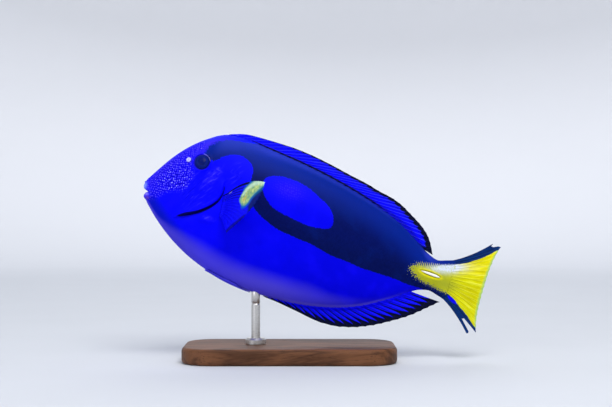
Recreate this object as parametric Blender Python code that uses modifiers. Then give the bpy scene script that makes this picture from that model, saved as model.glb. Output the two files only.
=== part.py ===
"""Regal blue tang: a life-size display model on a small stand.

The fish is lofted in its own frame, in millimetres: u runs from the mouth (0) to the tail, v is height
above the mouth-to-tail line, and y is across the body, with the left flank at -y. An empty then tilts
the whole fish head up over the stand. Fins are thin sheets whose rays stand up as ridges.
"""

import math

import bmesh
import bpy
import numpy as np
from mathutils import Matrix, Vector

MM = 0.001  # sizes below are millimetres; meshes are metres
WELD = 0.000002
PARTS, CUTTERS = "regal_blue_tang", "cutters"

# ---------------------------------------------------------------- driving sizes
PITCH = math.radians(16.3)  # head up
GAP = 0.3  # clearance between neighbouring solids

# Body outline (u, v), fins left off, and the half width of the body along it.
BACK_LINE = ((-2.4, 6.6), (-1.9, 7.9), (-0.6, 10.0), (1.5, 13.4), (4.5, 18.1), (9, 24.9), (14.1, 31.4),
             (19.5, 37.2), (25, 42.1), (31, 46.5), (37, 50.2), (43, 52.4), (50, 53.2), (58, 52.7),
             (68, 51.4), (80, 49.9), (94, 48.1), (109, 45.6), (124, 42.5), (139, 38.8), (155, 34.0),
             (171, 27.7), (181, 22.1), (189, 16.9), (196, 12.6), (203, 10.4), (209, 12.0))
BELLY_LINE = ((-2.4, 4.8), (-1.5, 2.0), (0.4, -4.6), (1.7, -6.9), (5.2, -10.6), (10.2, -15.4), (19.5, -22.9),
              (28.3, -28.8), (41, -35.4), (56.7, -41.0), (72, -44.4), (86, -45.8), (100, -46.1),
              (112, -45.9), (124, -44.7), (136, -42.7), (148.5, -39.5), (161, -34.7), (173, -28.1),
              (184, -20.9), (191, -15.5), (197, -12.4), (203, -11.2), (209, -12.6))
HALF_WIDTH = ((-2.4, 1.0), (-1.5, 2.4), (0.3, 3.6), (4, 5.6), (10, 8.5), (20, 11.9), (31, 14.3), (45, 16.4),
              (60, 17.6), (80, 18.0), (100, 17.3), (120, 15.5), (140, 12.9), (160, 9.9), (180, 7.1),
              (195, 5.3), (203, 3.6), (209, 1.5))
WIDEST_LINE = ((-2.4, 5.7), (0.3, 2.5), (10, 4), (30, 8), (60, 7.5), (100, 4), (150, 1), (209, -0.3))
BACK_SHARPNESS = ((-2, 2.1), (20, 1.95), (50, 1.75), (170, 1.75), (200, 2.0), (209, 2.6))
BELLY_SHARPNESS = ((-2, 2.1), (20, 2.0), (60, 1.95), (120, 1.8), (200, 2.0), (209, 2.6))

# Rear edge of the head: down from the nape behind the gill cover, then forward to the throat.
GILL_LINE = ((41.5, 62), (43.9, 50), (46.3, 39), (48.4, 29), (49.9, 20), (50.3, 13.5), (49.2, 8.8),
             (46.3, 4.4), (42.5, 0.4), (38, -3.4), (32, -7.2), (26, -10.6), (18, -14.4), (8, -19))
GILL_LIP = 1.1  # how far the gill cover stands out at its free edge
GILL_LIP_REACH = 7.0
GILL_STEP = 0.7  # how deep the shoulder dips just behind that edge
GILL_STEP_REACH = 4.0
SHOULDER_RISE = 1.5  # the fleshy root of each breast fin
SHOULDER_REACH = (6, 10)
GILL_FADE_V = (26, 40)  # above these heights the edge sinks back into the nape
GILL_FADE_U = (14, 26)  # and ahead of these places into the throat

# Head
EYE_PLACE = (31.3, 29.3)
EYE_RADIUS = 5.6
EYE_DEPTH = 3.1  # half depth of the flattened eyeball
EYE_SINK = 1.0  # its centre below the skin
EYE_RIM_RADIUS = 6.1
EYE_RIM_THICKNESS = 0.6
NOSTRILS = ((21.6, 28.5, 1.3), (24.3, 28.1, 0.8))  # place and rim radius: front tube, rear slit
NOSTRIL_RIM = 0.5  # its thickness, as a share of the rim radius
NOSTRIL_HOLE = 0.75  # the hole's radius, as a share of it
NOSTRIL_DEPTH = 1.2
# Lips: u, y, v and thickness from the corner of the mouth to the middle of the snout
UPPER_LIP = ((5.4, 4.3, 0.4, 0.8), (3.4, 4.0, 1.1, 1.3), (1.3, 3.3, 1.9, 1.7), (-0.2, 1.9, 2.6, 1.95),
             (-0.7, 0, 2.9, 2.05))
LOWER_LIP = ((5.4, 4.3, -0.7, 0.8), (3.7, 4.0, -1.7, 1.3), (2.2, 3.2, -2.6, 1.6), (1.1, 1.8, -3.2, 1.75),
             (0.7, 0, -3.4, 1.8))
MOUTH_SLIT = ((1.3, -0.2), (0.2, 0.35), (-1.2, 0.75), (-6, 1.8), (-6, -3.0), (-1.2, -1.45), (0.2, -0.75))

# Fins: (u, v) of the outer margin, the first and last root, and how far the rays lean back
DORSAL_ROOTS = (43.5, 193.4)
DORSAL_SPINES = 9
DORSAL_SOFT_RAYS = 20
DORSAL_MARGIN = ((47.5, 54.2), (50, 55.0), (54, 55.9), (58, 56.3), (70, 56.5), (85, 56.3), (99, 55.1),
                 (114, 52.6), (129, 49.4), (144, 46.4), (152, 44.2), (160, 42.6), (168, 40.0), (176, 35.7),
                 (181, 32.8), (185, 30.3), (189, 27.2), (192.4, 23.8), (195.2, 19.7), (197, 16.2),
                 (198.6, 12.8))
DORSAL_LEAN = ((0, 4.0), (0.12, 13), (0.35, 24), (0.6, 28), (0.8, 22), (0.92, 13), (1, 5.2))
ANAL_ROOTS = (96, 192)
ANAL_SPINES = 3
ANAL_SOFT_RAYS = 19
ANAL_MARGIN = ((98, -46.9), (106, -47.7), (115, -49.1), (123, -50.4), (131, -51.9), (139, -52.8),
               (147, -52.6), (158, -50.5), (171, -45.7), (184, -38.6), (196, -30.8), (205, -23.1),
               (212.4, -16.6))
ANAL_LEAN = ((0, 2), (0.2, 12), (0.5, 22), (0.8, 24), (1, 20.4))
RAY_SWEEP = 0.18  # how far a ray of these two bends towards its root, as a share of its lean
CAUDAL_ROOT_U = 209.0
CAUDAL_ROOT_HALF = 11.6
CAUDAL_ROOT_V = -0.2
CAUDAL_FLARE = 9.0  # how far the outermost rays bow towards the fin's middle
CAUDAL_RAYS = 16
CAUDAL_REAR_U = 238.4  # middle of the rear margin
CAUDAL_TIP = (241.7, 30.1, 0.7)  # u and half span of the lobes, and how far they lie above the middle
CAUDAL_OUTER_TIP = (235.6, 31.7, -0.3)  # the short ray outside each lobe
PECTORAL_ROOTS = ((53.6, 12.6), (54.6, -2.0))
PECTORAL_RAYS = 15
# u, out from the flank and v: the bend and the tip of the highest ray and of the lowest one
PECTORAL_LEADING = ((63.1, 19.0, 27.2), (77.2, 38.0, 27.9))
PECTORAL_TRAILING = ((58.5, 8.0, -6.5), (61.5, 15.0, -10.8))
PECTORAL_BOW = (3.6, 6.5, -1.0)  # how far the margin bows out beyond a straight line between the tips
PECTORAL_BOW_SHIFT = 0.8  # below 1 the bow is fullest nearer the highest ray
PELVIC_ROOT = (54, 0.12)  # u, and share of the way round from the keel to the widest line
PELVIC_TIP = (86.5, 0.11)
PELVIC_RAYS = 4
PELVIC_SPREAD = 0.10  # share of the way round that the folded fin covers
PELVIC_STAGGER = (1.5, 9.0)  # how much further back the last root lies than the first, and ahead its tip
PELVIC_THICKNESS = (1.0, 0.65)  # over a ray at its root and tip
PELVIC_LIFT = 0.5  # how much further from the belly the tip lies than the root
MEMBRANE = 0.5  # thickness of a fin between its rays
MEMBRANE_THINNING = 0.2  # share of it that is lost on the way out to the margin
RAY_THICKNESS = 1.62  # thickness of a fin over a ray at its root
RAY_TIP_THICKNESS = 0.62
RAY_HALF_WIDTH = 0.24  # of the raised ridge, as a share of the distance between two rays
RAY_TAPER = 0.8  # 1 for a ray that thins evenly, less for one that keeps its thickness longer
NOTCH = 0.025  # how far the margin dips between two rays, as a share of the ray
PELVIC_NOTCH = 0.06

# Tail spines, folded forward in their sheaths
SPINE_SPAN = (193.2, 208.0)
SPINE_HEIGHT = 3.0
SPINE_THICKNESS = 1.5
SPINE_PLAY = (1.0, 0.4)  # room for the blade in its sheath: along it and under it
SHEATH_DEPTH = 0.9
SHEATH_MARGIN = (1.0, 0.7, 0.4)  # how much larger the sheath is than the blade: ahead, above and inwards
BLADE_SHAPE = (0.12, 0.42, 0.66, 0.84, 0.98, 0.95, 0.5)  # its height from point to hinge, as a share

# Stand
FISH_HEIGHT = 115.0  # of the mouth above the floor
MOUTH_X = -97.0
BASE_SIZE = (144.0, 72.0, 11.0)
BASE_CORNER = 20.0
BASE_EDGE = 2.5
ROD_U = 90.5  # where the rod meets the belly
ROD_RADIUS = 3.0
COLLAR_RADIUS = 7.0
COLLAR_HEIGHT = 4.0
COLLAR_CHAMFER = 1.2

# Lofts
NOSE_STATIONS = (-2.4, -2.1, -1.6, -0.8, 0.2, 1.6)
HEAD_SPAN = (3.5, 56)
TORSO_SPAN = (4, 178)
FINE_SPAN = (42, 64.6)  # of the torso, round the gill edge and the shoulder
STATION_STEP = 5.0  # between two sections of the torso; the others are finer
SIDE_LEVELS = 17  # rows of points between keel and back on one flank
LEVEL_CROWDING = 0.4  # how strongly these rows crowd towards back and keel


# ---------------------------------------------------------------- curves
def smooth(points):
    """A curve through (x, value) points that never overshoots them, as a function of x."""
    xs, ys = (np.array(column, float) for column in zip(*points))
    steps = np.diff(xs)
    slopes = np.diff(ys) / steps
    ends = np.concatenate([[slopes[0]], np.zeros(len(xs) - 2), [slopes[-1]]])
    before, after = slopes[:-1], slopes[1:]
    weight_a, weight_b = 2 * steps[1:] + steps[:-1], steps[1:] + 2 * steps[:-1]
    same_way = before * after > 0
    safe_before, safe_after = np.where(same_way, before, 1), np.where(same_way, after, 1)
    mean = (weight_a + weight_b) / (weight_a / safe_before + weight_b / safe_after)
    ends[1:-1] = np.where(same_way, mean, 0)

    def value(x):
        x = np.clip(x, xs[0], xs[-1])
        i = np.clip(np.searchsorted(xs, x) - 1, 0, len(steps) - 1)
        h = steps[i]
        t = (x - xs[i]) / h
        return ((2 * t**3 - 3 * t**2 + 1) * ys[i] + (t**3 - 2 * t**2 + t) * h * ends[i]
                + (3 * t**2 - 2 * t**3) * ys[i + 1] + (t**3 - t**2) * h * ends[i + 1])

    return value


back, belly, half_width = smooth(BACK_LINE), smooth(BELLY_LINE), smooth(HALF_WIDTH)
widest = smooth(WIDEST_LINE)
back_sharpness, belly_sharpness = smooth(BACK_SHARPNESS), smooth(BELLY_SHARPNESS)


def fade(value, start, end):
    """0 before start, 1 after end, and smooth in between; start may be the larger."""
    t = np.clip((value - start) / (end - start), 0, 1)
    return t * t * (3 - 2 * t)


def rounded_path(points, count):
    """count points on a smooth curve through the given ones, evenly spread over them."""
    where = np.linspace(0, len(points) - 1, count)
    columns = [smooth([(i, p[axis]) for i, p in enumerate(points)])(where) for axis in range(len(points[0]))]
    return np.array(columns).T


GILL_EDGE = rounded_path(GILL_LINE, 53)


def gill_bump(u, v, reach):
    """1 on the rear edge of the gill cover, 0 far from it and where the edge has sunk back into the head."""
    gap = np.hypot(GILL_EDGE[:, 0] - u, GILL_EDGE[:, 1] - v).min()
    return math.exp(-((gap / reach) ** 2)) * fade(v, GILL_FADE_V[1], GILL_FADE_V[0]) * fade(u, *GILL_FADE_U)


# ---------------------------------------------------------------- the body's surface
def skin_point(u, turn, region, grow=0.0):
    """A point (u, y, v) of the left flank. turn is -1 at the keel, 0 at the widest line and 1 at the back."""
    top, low, middle = back(u) + grow, belly(u) - grow, widest(u)
    angle = turn * math.pi / 2
    sharpness = back_sharpness(u) if turn > 0 else belly_sharpness(u)
    height = top - middle if turn > 0 else middle - low
    power = 2 / sharpness
    v = middle + math.copysign(abs(math.sin(angle)) ** power, turn) * height
    across = max(math.cos(angle), 0) ** power
    out = across * (half_width(u) + grow)
    return u, -(out + relief(u, v, region) * min(1.0, out / 3)), v


def relief(u, v, region):
    """How far the flank stands out from the plain loft at (u, v)."""
    if region == "head":
        return GILL_LIP * gill_bump(u, v, GILL_LIP_REACH)
    if region == "torso":
        dip = -GILL_STEP * gill_bump(u, v, GILL_STEP_REACH)
        (u_a, v_a), (u_b, v_b) = PECTORAL_ROOTS
        middle_u, middle_v = (u_a + u_b) / 2, (v_a + v_b) / 2
        away = ((u - middle_u) / SHOULDER_REACH[0]) ** 2 + ((v - middle_v) / SHOULDER_REACH[1]) ** 2
        return dip + SHOULDER_RISE * math.exp(-away)
    return 0.0


def flank(u, v, region="torso"):
    """Half width of the body at (u, v)."""
    middle = widest(u)
    height = back(u) - middle if v > middle else middle - belly(u)
    sharpness = back_sharpness(u) if v > middle else belly_sharpness(u)
    share = min(1.0, abs(v - middle) / height)
    out = half_width(u) * (1 - share**sharpness) ** (1 / sharpness)
    return out + relief(u, v, region) * min(1.0, out / 3)


def level_turns(levels):
    """Where round the flank the rings of points lie: closer together at the back and keel."""
    even = np.linspace(-1, 1, levels)
    return (1 - LEVEL_CROWDING) * even + LEVEL_CROWDING * np.sin(even * math.pi / 2)


# ---------------------------------------------------------------- mesh helpers
def collection(name):
    made = bpy.data.collections.new(name)
    bpy.context.scene.collection.children.link(made)
    return made


def new_object(name, mesh):
    """An object of this mesh among the parts, with its faces turned outwards."""
    tidy = bmesh.new()
    tidy.from_mesh(mesh)
    bmesh.ops.recalc_face_normals(tidy, faces=tidy.faces)
    tidy.to_mesh(mesh)
    tidy.free()
    obj = bpy.data.objects.new(name, mesh)
    bpy.data.collections[PARTS].objects.link(obj)
    return obj


def lofted(name, points, faces):
    """An object from points in millimetres and faces."""
    mesh = bpy.data.meshes.new(name)
    mesh.from_pydata([Vector(p) * MM for p in points], [], faces)
    return new_object(name, mesh)


def primitive(name, matrix, create, **sizes):
    """An object from one of bmesh's primitives, moved by the matrix."""
    shape = bmesh.new()
    create(shape, **sizes)
    bmesh.ops.transform(shape, matrix=matrix, verts=shape.verts)
    mesh = bpy.data.meshes.new(name)
    shape.to_mesh(mesh)
    shape.free()
    return new_object(name, mesh)


def from_curve(name, curve, matrix):
    """A closed mesh object from curve data, moved by the matrix, with its caps welded."""
    holder = bpy.data.objects.new(name, curve)
    bpy.context.scene.collection.objects.link(holder)
    graph = bpy.context.evaluated_depsgraph_get()
    mesh = bpy.data.meshes.new_from_object(holder.evaluated_get(graph))
    bpy.data.objects.remove(holder)
    welded = bmesh.new()
    welded.from_mesh(mesh)
    bmesh.ops.remove_doubles(welded, verts=welded.verts, dist=WELD)
    bmesh.ops.transform(welded, matrix=matrix, verts=welded.verts)
    welded.to_mesh(mesh)
    welded.free()
    return new_object(name, mesh)


def body_loft(name, stations, region, levels=SIDE_LEVELS, grow=0.0):
    """A closed loft of the whole body section over these stations."""
    turns = level_turns(levels)
    points, around = [], 2 * (levels - 1)
    for u in stations:
        left = [skin_point(u, turn, region, grow) for turn in turns]
        right = [(a, -b, c) for a, b, c in left[-2:0:-1]]
        points += left + right
    faces = []
    for i in range(len(stations) - 1):
        for j in range(around):
            k = (j + 1) % around
            faces.append((i * around + j, i * around + k, (i + 1) * around + k, (i + 1) * around + j))
    for ring in (0, len(stations) - 1):
        faces.append([ring * around + j for j in range(around)])
    return lofted(name, points, faces)


def block(name, outline, half=40.0):
    """A closed block with this (u, v) outline, reaching half to each side."""
    curve = bpy.data.curves.new(name, "CURVE")
    curve.dimensions = "2D"
    curve.fill_mode = "BOTH"
    curve.extrude = half * MM
    spline = curve.splines.new("POLY")
    spline.points.add(len(outline) - 1)
    for point, (u, v) in zip(spline.points, outline):
        point.co = (u * MM, v * MM, 0, 1)
    spline.use_cyclic_u = True
    return from_curve(name, curve, Matrix.Rotation(math.pi / 2, 4, "X"))


def apply_modifiers(obj):
    graph = bpy.context.evaluated_depsgraph_get()
    made = bpy.data.meshes.new_from_object(obj.evaluated_get(graph))
    obj.modifiers.clear()
    obj.data = made


def boolean(obj, others, operation):
    """Joins other closed meshes to obj or cuts them from it, and removes them."""
    cutters = bpy.data.collections[CUTTERS]
    for other in others:
        other.hide_render = True
        other.display_type = "WIRE"
        bpy.data.collections[PARTS].objects.unlink(other)
        cutters.objects.link(other)
    modifier = obj.modifiers.new(operation.lower(), "BOOLEAN")
    modifier.operand_type = "COLLECTION"
    modifier.collection = cutters
    modifier.operation = operation
    apply_modifiers(obj)
    for other in others:
        bpy.data.objects.remove(other)
    return obj


def keep_largest(obj):
    """Drops every closed surface but the largest."""
    mesh = bmesh.new()
    mesh.from_mesh(obj.data)
    bmesh.ops.remove_doubles(mesh, verts=mesh.verts, dist=WELD)
    unseen, shells = set(mesh.verts), []
    while unseen:
        shell, edge = set(), [unseen.pop()]
        while edge:
            vert = edge.pop()
            shell.add(vert)
            near = [e.other_vert(vert) for e in vert.link_edges]
            fresh = [n for n in near if n in unseen]
            unseen.difference_update(fresh)
            edge += fresh
        shells.append(shell)
    shells.sort(key=len)
    bmesh.ops.delete(mesh, geom=[v for shell in shells[:-1] for v in shell], context="VERTS")
    bmesh.ops.triangulate(mesh, faces=mesh.faces)
    mesh.to_mesh(obj.data)
    mesh.free()
    return obj


def paint(obj, material, smooth_angle):
    """Gives obj its material, and round shading below this angle in degrees."""
    obj.data.materials.clear()
    obj.data.materials.append(material)
    obj.data.shade_smooth()
    obj.data.set_sharp_from_angle(angle=math.radians(smooth_angle))
    return obj


def finish(obj, material, smooth_angle=40):
    """Paints a piece of the fish and places it with the rest."""
    obj.parent = bpy.data.objects["fish_pose"]
    return paint(obj, material, smooth_angle)


def tube(name, path, matrix=None, resolution=2):
    """A closed tube along points of (u, y, v, radius)."""
    curve = bpy.data.curves.new(name, "CURVE")
    curve.dimensions = "3D"
    curve.bevel_depth = MM
    curve.bevel_resolution = resolution
    curve.use_fill_caps = True
    spline = curve.splines.new("POLY")
    spline.points.add(len(path) - 1)
    for point, (u, y, v, radius) in zip(spline.points, path):
        point.co = (u * MM, y * MM, v * MM, 1)
        point.radius = radius
    return from_curve(name, curve, matrix or Matrix())


def surface_matrix(u, v, side, region, out=0.0, step=0.5):
    """A frame on the flank at (u, v): its Z axis points out of the skin. side is -1 left and 1 right."""
    slope_u = (flank(u + step, v, region) - flank(u - step, v, region)) / (2 * step)
    slope_v = (flank(u, v + step, region) - flank(u, v - step, region)) / (2 * step)
    normal = Vector((-slope_u, side, -slope_v)).normalized()
    across = Vector((0, 0, 1)).cross(normal).normalized()
    up = normal.cross(across)
    place = Vector((u, side * flank(u, v, region), v)) + normal * out
    turn = Matrix((across, up, normal)).transposed().to_4x4()
    return Matrix.Translation(place * MM) @ turn


def ellipsoid(name, matrix, size, segments=20, rings=10):
    """A ball stretched to these three half sizes."""
    scale = Matrix.Diagonal((*(half * MM for half in size), 1))
    return primitive(name, matrix @ scale, bmesh.ops.create_uvsphere, u_segments=segments,
                     v_segments=rings, radius=1)


def rim(name, matrix, radius, thickness, segments, sides):
    """A torus that lies on the skin."""
    bpy.ops.mesh.primitive_torus_add(major_radius=radius * MM, minor_radius=thickness * MM,
                                     major_segments=segments, minor_segments=sides)
    torus = bpy.context.object
    mesh = torus.data
    bpy.data.objects.remove(torus)
    mesh.transform(matrix)
    return new_object(name, mesh)


def cylinder(name, matrix, radius, low, high, sides):
    lift = Matrix.Translation((0, 0, (high + low) / 2 * MM))
    return primitive(name, matrix @ lift, bmesh.ops.create_cone, cap_ends=True, segments=sides,
                     radius1=radius * MM, radius2=radius * MM, depth=(high - low) * MM)


# ---------------------------------------------------------------- head, torso and tail stem
def stations(start, end, step):
    return np.linspace(start, end, max(2, round((end - start) / step) + 1))


def head_outline(grow=0.0):
    """The head's side of the gill line, as a closed (u, v) outline, moved back by grow."""
    edge = []
    for i, (u, v) in enumerate(GILL_EDGE):
        ahead = GILL_EDGE[min(i + 1, len(GILL_EDGE) - 1)] - GILL_EDGE[max(i - 1, 0)]
        out = np.array((-ahead[1], ahead[0])) / np.hypot(*ahead)
        edge.append((u + out[0] * grow, v + out[1] * grow))
    return edge[::2] + [(-12, -19), (-12, 62)]


def make_head(material):
    head = body_loft("head", list(NOSE_STATIONS) + list(stations(*HEAD_SPAN, STATION_STEP / 2)), "head")
    extras = []
    for name, path in (("upper_lip", UPPER_LIP), ("lower_lip", LOWER_LIP)):
        half = rounded_path(path, 8)
        extras.append(tube(name, np.concatenate([half, half[-2::-1] * (1, -1, 1, 1)]), resolution=3))
    cuts = [block("mouth", MOUTH_SLIT, 12)]
    for side in (-1, 1):
        eye = surface_matrix(*EYE_PLACE, side, "head")
        extras.append(rim("eye_rim", eye, EYE_RIM_RADIUS, EYE_RIM_THICKNESS, 28, 6))
        socket = surface_matrix(*EYE_PLACE, side, "head", -EYE_SINK)
        room = EYE_RADIUS + GAP
        cuts.append(ellipsoid("socket", socket, (room, room, EYE_DEPTH + GAP), 28, 12))
        for u, v, radius in NOSTRILS:
            place = surface_matrix(u, v, side, "head")
            extras.append(rim("nostril_rim", place, radius, radius * NOSTRIL_RIM, 10, 5))
            cuts.append(cylinder("nostril", place, radius * NOSTRIL_HOLE, -NOSTRIL_DEPTH, 2 * radius, 8))
    boolean(head, extras, "UNION")
    boolean(head, cuts, "DIFFERENCE")
    boolean(head, [block("front", head_outline())], "INTERSECT")
    return finish(keep_largest(head), material)


def make_torso(material):
    front, rear = TORSO_SPAN
    fine_from, fine_to = FINE_SPAN
    spread = np.concatenate([stations(front, fine_from, STATION_STEP)[:-1],
                             stations(fine_from, fine_to, 2)[:-1],
                             stations(fine_to, rear, STATION_STEP)])
    torso = body_loft("torso", spread, "torso")
    boolean(torso, [block("front", head_outline(GAP))], "DIFFERENCE")
    return finish(keep_largest(torso), material)


def make_tail_stem(material):
    start = TORSO_SPAN[1] + GAP
    stem = body_loft("tail_stem", stations(start, CAUDAL_ROOT_U, STATION_STEP * 0.7), "tail")
    low, high = SPINE_SPAN
    ahead, above, inwards = SHEATH_MARGIN
    size = ((high - low) / 2 + ahead, SPINE_HEIGHT / 2 + above, SHEATH_DEPTH + inwards)
    sheaths = [ellipsoid("sheath", spine_frame(side, (low + high) / 2), size, 16, 8) for side in (-1, 1)]
    boolean(stem, sheaths, "DIFFERENCE")
    return finish(keep_largest(stem), material)


def spine_frame(side, u):
    """A frame on the side of the tail stem: X along the skin to the rear, Z out."""
    low, high = SPINE_SPAN
    rise = math.atan2(flank(low, 0, "tail") - flank(high, 0, "tail"), high - low)
    place = Vector((u, side * (flank(low, 0, "tail") + flank(high, 0, "tail")) / 2, 0))
    turn = Matrix.Rotation(-side * rise, 4, "Z") @ Matrix.Rotation(-side * math.pi / 2, 4, "X")
    return Matrix.Translation(place * MM) @ turn


# ---------------------------------------------------------------- fins
def fin_columns(rays):
    """Places across a fin, counted in rays: each ray's crest and the membrane on both sides of it."""
    columns = []
    for ray in range(rays):
        columns += [ray - RAY_HALF_WIDTH, ray, ray + RAY_HALF_WIDTH]
    return columns[1:-1]


def fin_sheet(name, place, normal, rays, rows, thickness, root=None, notch=NOTCH):
    """A closed sheet. place(s, t) gives its middle surface at ray s and share t of the way out, and
    normal(s, t) its direction across. Both faces are split into triangles alike. root(point) drops a
    root point on the body, and the margin dips by notch between the rays."""
    columns, faces, points = fin_columns(rays), [], []
    for side in (1, -1):
        for s in columns:
            crest = abs(s - round(s)) < 0.01
            for row in rows:
                t = row * (1 - (0 if crest else notch) * row)
                half = (thickness(t) if crest else MEMBRANE * (1 - MEMBRANE_THINNING * t)) / 2
                point = place(s, t) + normal(s, t) * (side * half)
                points.append(root(point) if root and row == 0 else point)
    count, wide = len(rows), len(columns)
    other = count * wide
    for i in range(wide - 1):
        for j in range(count - 1):
            a, b = i * count + j, (i + 1) * count + j
            c, d = b + 1, a + 1
            faces += [(a, b, c), (a, c, d)]
            faces += [(a + other, c + other, b + other), (a + other, d + other, c + other)]
    edge = [i * count for i in range(wide)] + [(wide - 1) * count + j for j in range(1, count)]
    edge += [i * count + count - 1 for i in range(wide - 2, -1, -1)] + list(range(count - 2, 0, -1))
    for a, b in zip(edge, edge[1:] + edge[:1]):
        faces += [(a, a + other, b + other), (a, b + other, b)]
    return lofted(name, points, faces)


def ray_thickness(t):
    return RAY_TIP_THICKNESS + (RAY_THICKNESS - RAY_TIP_THICKNESS) * (1 - t) ** RAY_TAPER


def across_body(s, t):
    return Vector((0, 1, 0))


def square_to(place, s, t, last):
    """The direction square to the fin place at ray s and share t, where last is its last ray."""
    along = place(s, min(t + 0.05, 1)) - place(s, max(t - 0.05, 0))
    across = place(min(s + 0.5, last), t) - place(max(s - 0.5, 0), t)
    return along.cross(across).normalized()


def make_median_fin(name, material, roots, spines, soft_rays, edge, margin, lean, out):
    """A fin on the midline: its rays run from the body's edge line, leaning back, to the fin's margin."""
    rays = spines + soft_rays
    outer, leaning = smooth(margin), smooth(lean)

    def place(s, t):
        share = np.clip(s / (rays - 1), 0, 1)
        u_root = roots[0] + (roots[1] - roots[0]) * share
        u_tip = u_root + leaning(share)
        v_root = edge(u_root) + out * GAP
        v_tip = outer(u_tip)
        sweep = t * (1 - t) * RAY_SWEEP * (u_tip - u_root)
        return Vector((u_root + (u_tip - u_root) * t - sweep, 0, v_root + (v_tip - v_root) * t))

    fin = fin_sheet(name, place, across_body, rays, (0, 0.3, 0.75, 1), ray_thickness)
    return finish(fin, material, 20)


def make_caudal_fin(material):
    tip_u, tip_v, tip_raise = CAUDAL_TIP
    outer_u, outer_v, outer_raise = CAUDAL_OUTER_TIP
    count = CAUDAL_RAYS + 2  # and one short ray outside each lobe

    def place(s, t):
        share = np.clip(2 * s / (count - 1) - 1, -1, 1)  # -1 low, 1 high
        root_u, root_v = CAUDAL_ROOT_U + GAP, CAUDAL_ROOT_HALF * share + CAUDAL_ROOT_V
        inner = min(1.0, abs(share) * (count - 1) / (count - 3))
        outside = fade(abs(share), 1 - 2 / (count - 1), 1)
        end_u = CAUDAL_REAR_U + (tip_u - CAUDAL_REAR_U) * inner**3 + (outer_u - tip_u) * outside
        end_v = math.copysign(tip_v * inner + (outer_v - tip_v) * outside, share)
        end_v += tip_raise * inner + (outer_raise - tip_raise) * outside
        flare = t * (1 - t) * CAUDAL_FLARE * share * abs(share)
        return Vector((root_u + (end_u - root_u) * t, 0, root_v + (end_v - root_v) * t - flare))

    fin = fin_sheet("caudal_fin", place, across_body, count, (0, 0.15, 0.4, 0.7, 1), ray_thickness)
    return finish(fin, material, 20)


def make_pectoral_fin(side, material):
    """A fin spread from the flank: side is -1 left and 1 right."""
    (root_a, root_b), rays = PECTORAL_ROOTS, PECTORAL_RAYS
    shoulder = flank(*root_a)

    def off_flank(u, out, v):
        return Vector((u, side * (shoulder + out), v))

    def on_skin(point):
        return Vector((point.x, side * (flank(point.x, point.z) + GAP), point.z))

    def place(s, t):
        share = np.clip(s / (rays - 1), 0, 1)
        u, v = (a + (b - a) * share for a, b in zip(root_a, root_b))
        start = on_skin(Vector((u, 0, v)))
        bend = off_flank(*PECTORAL_LEADING[0]).lerp(off_flank(*PECTORAL_TRAILING[0]), share)
        end = off_flank(*PECTORAL_LEADING[1]).lerp(off_flank(*PECTORAL_TRAILING[1]), share)
        bow_u, bow_out, bow_v = PECTORAL_BOW
        end += Vector((bow_u, side * bow_out, bow_v)) * math.sin(math.pi * share**PECTORAL_BOW_SHIFT)
        return start * (1 - t) ** 2 + bend * (2 * t * (1 - t)) + end * t * t

    def normal(s, t):
        return square_to(place, s, t, rays - 1) * side

    name = "pectoral_fin_left" if side < 0 else "pectoral_fin_right"
    fin = fin_sheet(name, place, normal, rays, (0, 0.2, 0.5, 0.8, 1), ray_thickness, on_skin)
    return finish(fin, material, 20)


def make_pelvic_fin(side, material):
    """A narrow fin folded back along the belly, just clear of it."""
    (u_root, turn_root), (u_tip, turn_tip) = PELVIC_ROOT, PELVIC_TIP
    stagger_root, stagger_tip = PELVIC_STAGGER

    def place(s, t):
        share = np.clip(s / (PELVIC_RAYS - 1), 0, 1)
        open_here = 0.55 + 0.9 * t - 0.75 * t * t  # how far the fin is open: most just past its middle
        turn = turn_root + (turn_tip - turn_root) * t + PELVIC_SPREAD * share * open_here
        u = u_root + (u_tip - stagger_tip * share * t - u_root) * t + stagger_root * share * (1 - t)
        u_skin, y, v = skin_point(u, turn - 1, "torso", GAP + PELVIC_THICKNESS[0] / 2 + PELVIC_LIFT * t)
        return Vector((u_skin, -side * y, v))

    def normal(s, t):
        return square_to(place, s, t, PELVIC_RAYS - 1)

    def thickness(t):
        return PELVIC_THICKNESS[0] + (PELVIC_THICKNESS[1] - PELVIC_THICKNESS[0]) * t

    name = "pelvic_fin_left" if side < 0 else "pelvic_fin_right"
    fin = fin_sheet(name, place, normal, PELVIC_RAYS, (0, 0.25, 0.5, 0.75, 1), thickness, notch=PELVIC_NOTCH)
    return finish(fin, material, 20)


# ---------------------------------------------------------------- eyes and tail spines
def make_eye(side, material):
    name = "eye_left" if side < 0 else "eye_right"
    place = surface_matrix(*EYE_PLACE, side, "head", -EYE_SINK)
    return finish(ellipsoid(name, place, (EYE_RADIUS, EYE_RADIUS, EYE_DEPTH), 24, 12), material, 60)


def make_tail_spine(side, material):
    """A blade with its hinge at the rear and its point to the front, lying in its sheath."""
    name = "tail_spine_left" if side < 0 else "tail_spine_right"
    low, high = SPINE_SPAN
    length = high - low - SPINE_PLAY[0]
    path = [(share * length - length / 2, 0, 0, SPINE_HEIGHT / 2 * tall)
            for share, tall in zip(np.linspace(0, 1, len(BLADE_SHAPE)), BLADE_SHAPE)]
    flatten = Matrix.Diagonal((1, 1, SPINE_THICKNESS / SPINE_HEIGHT, 1))
    lift = Matrix.Translation((0, 0, (SPINE_PLAY[1] - SHEATH_DEPTH + SPINE_THICKNESS / 2) * MM))
    blade = tube(name, path, spine_frame(side, (low + high) / 2) @ lift @ flatten)
    return finish(blade, material, 30)


# ---------------------------------------------------------------- stand
def in_row(u, v):
    """Where a point of the fish's midline is over the stand, in millimetres: (x, z)."""
    return (MOUTH_X + u * math.cos(PITCH) + v * math.sin(PITCH),
            FISH_HEIGHT - u * math.sin(PITCH) + v * math.cos(PITCH))


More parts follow.
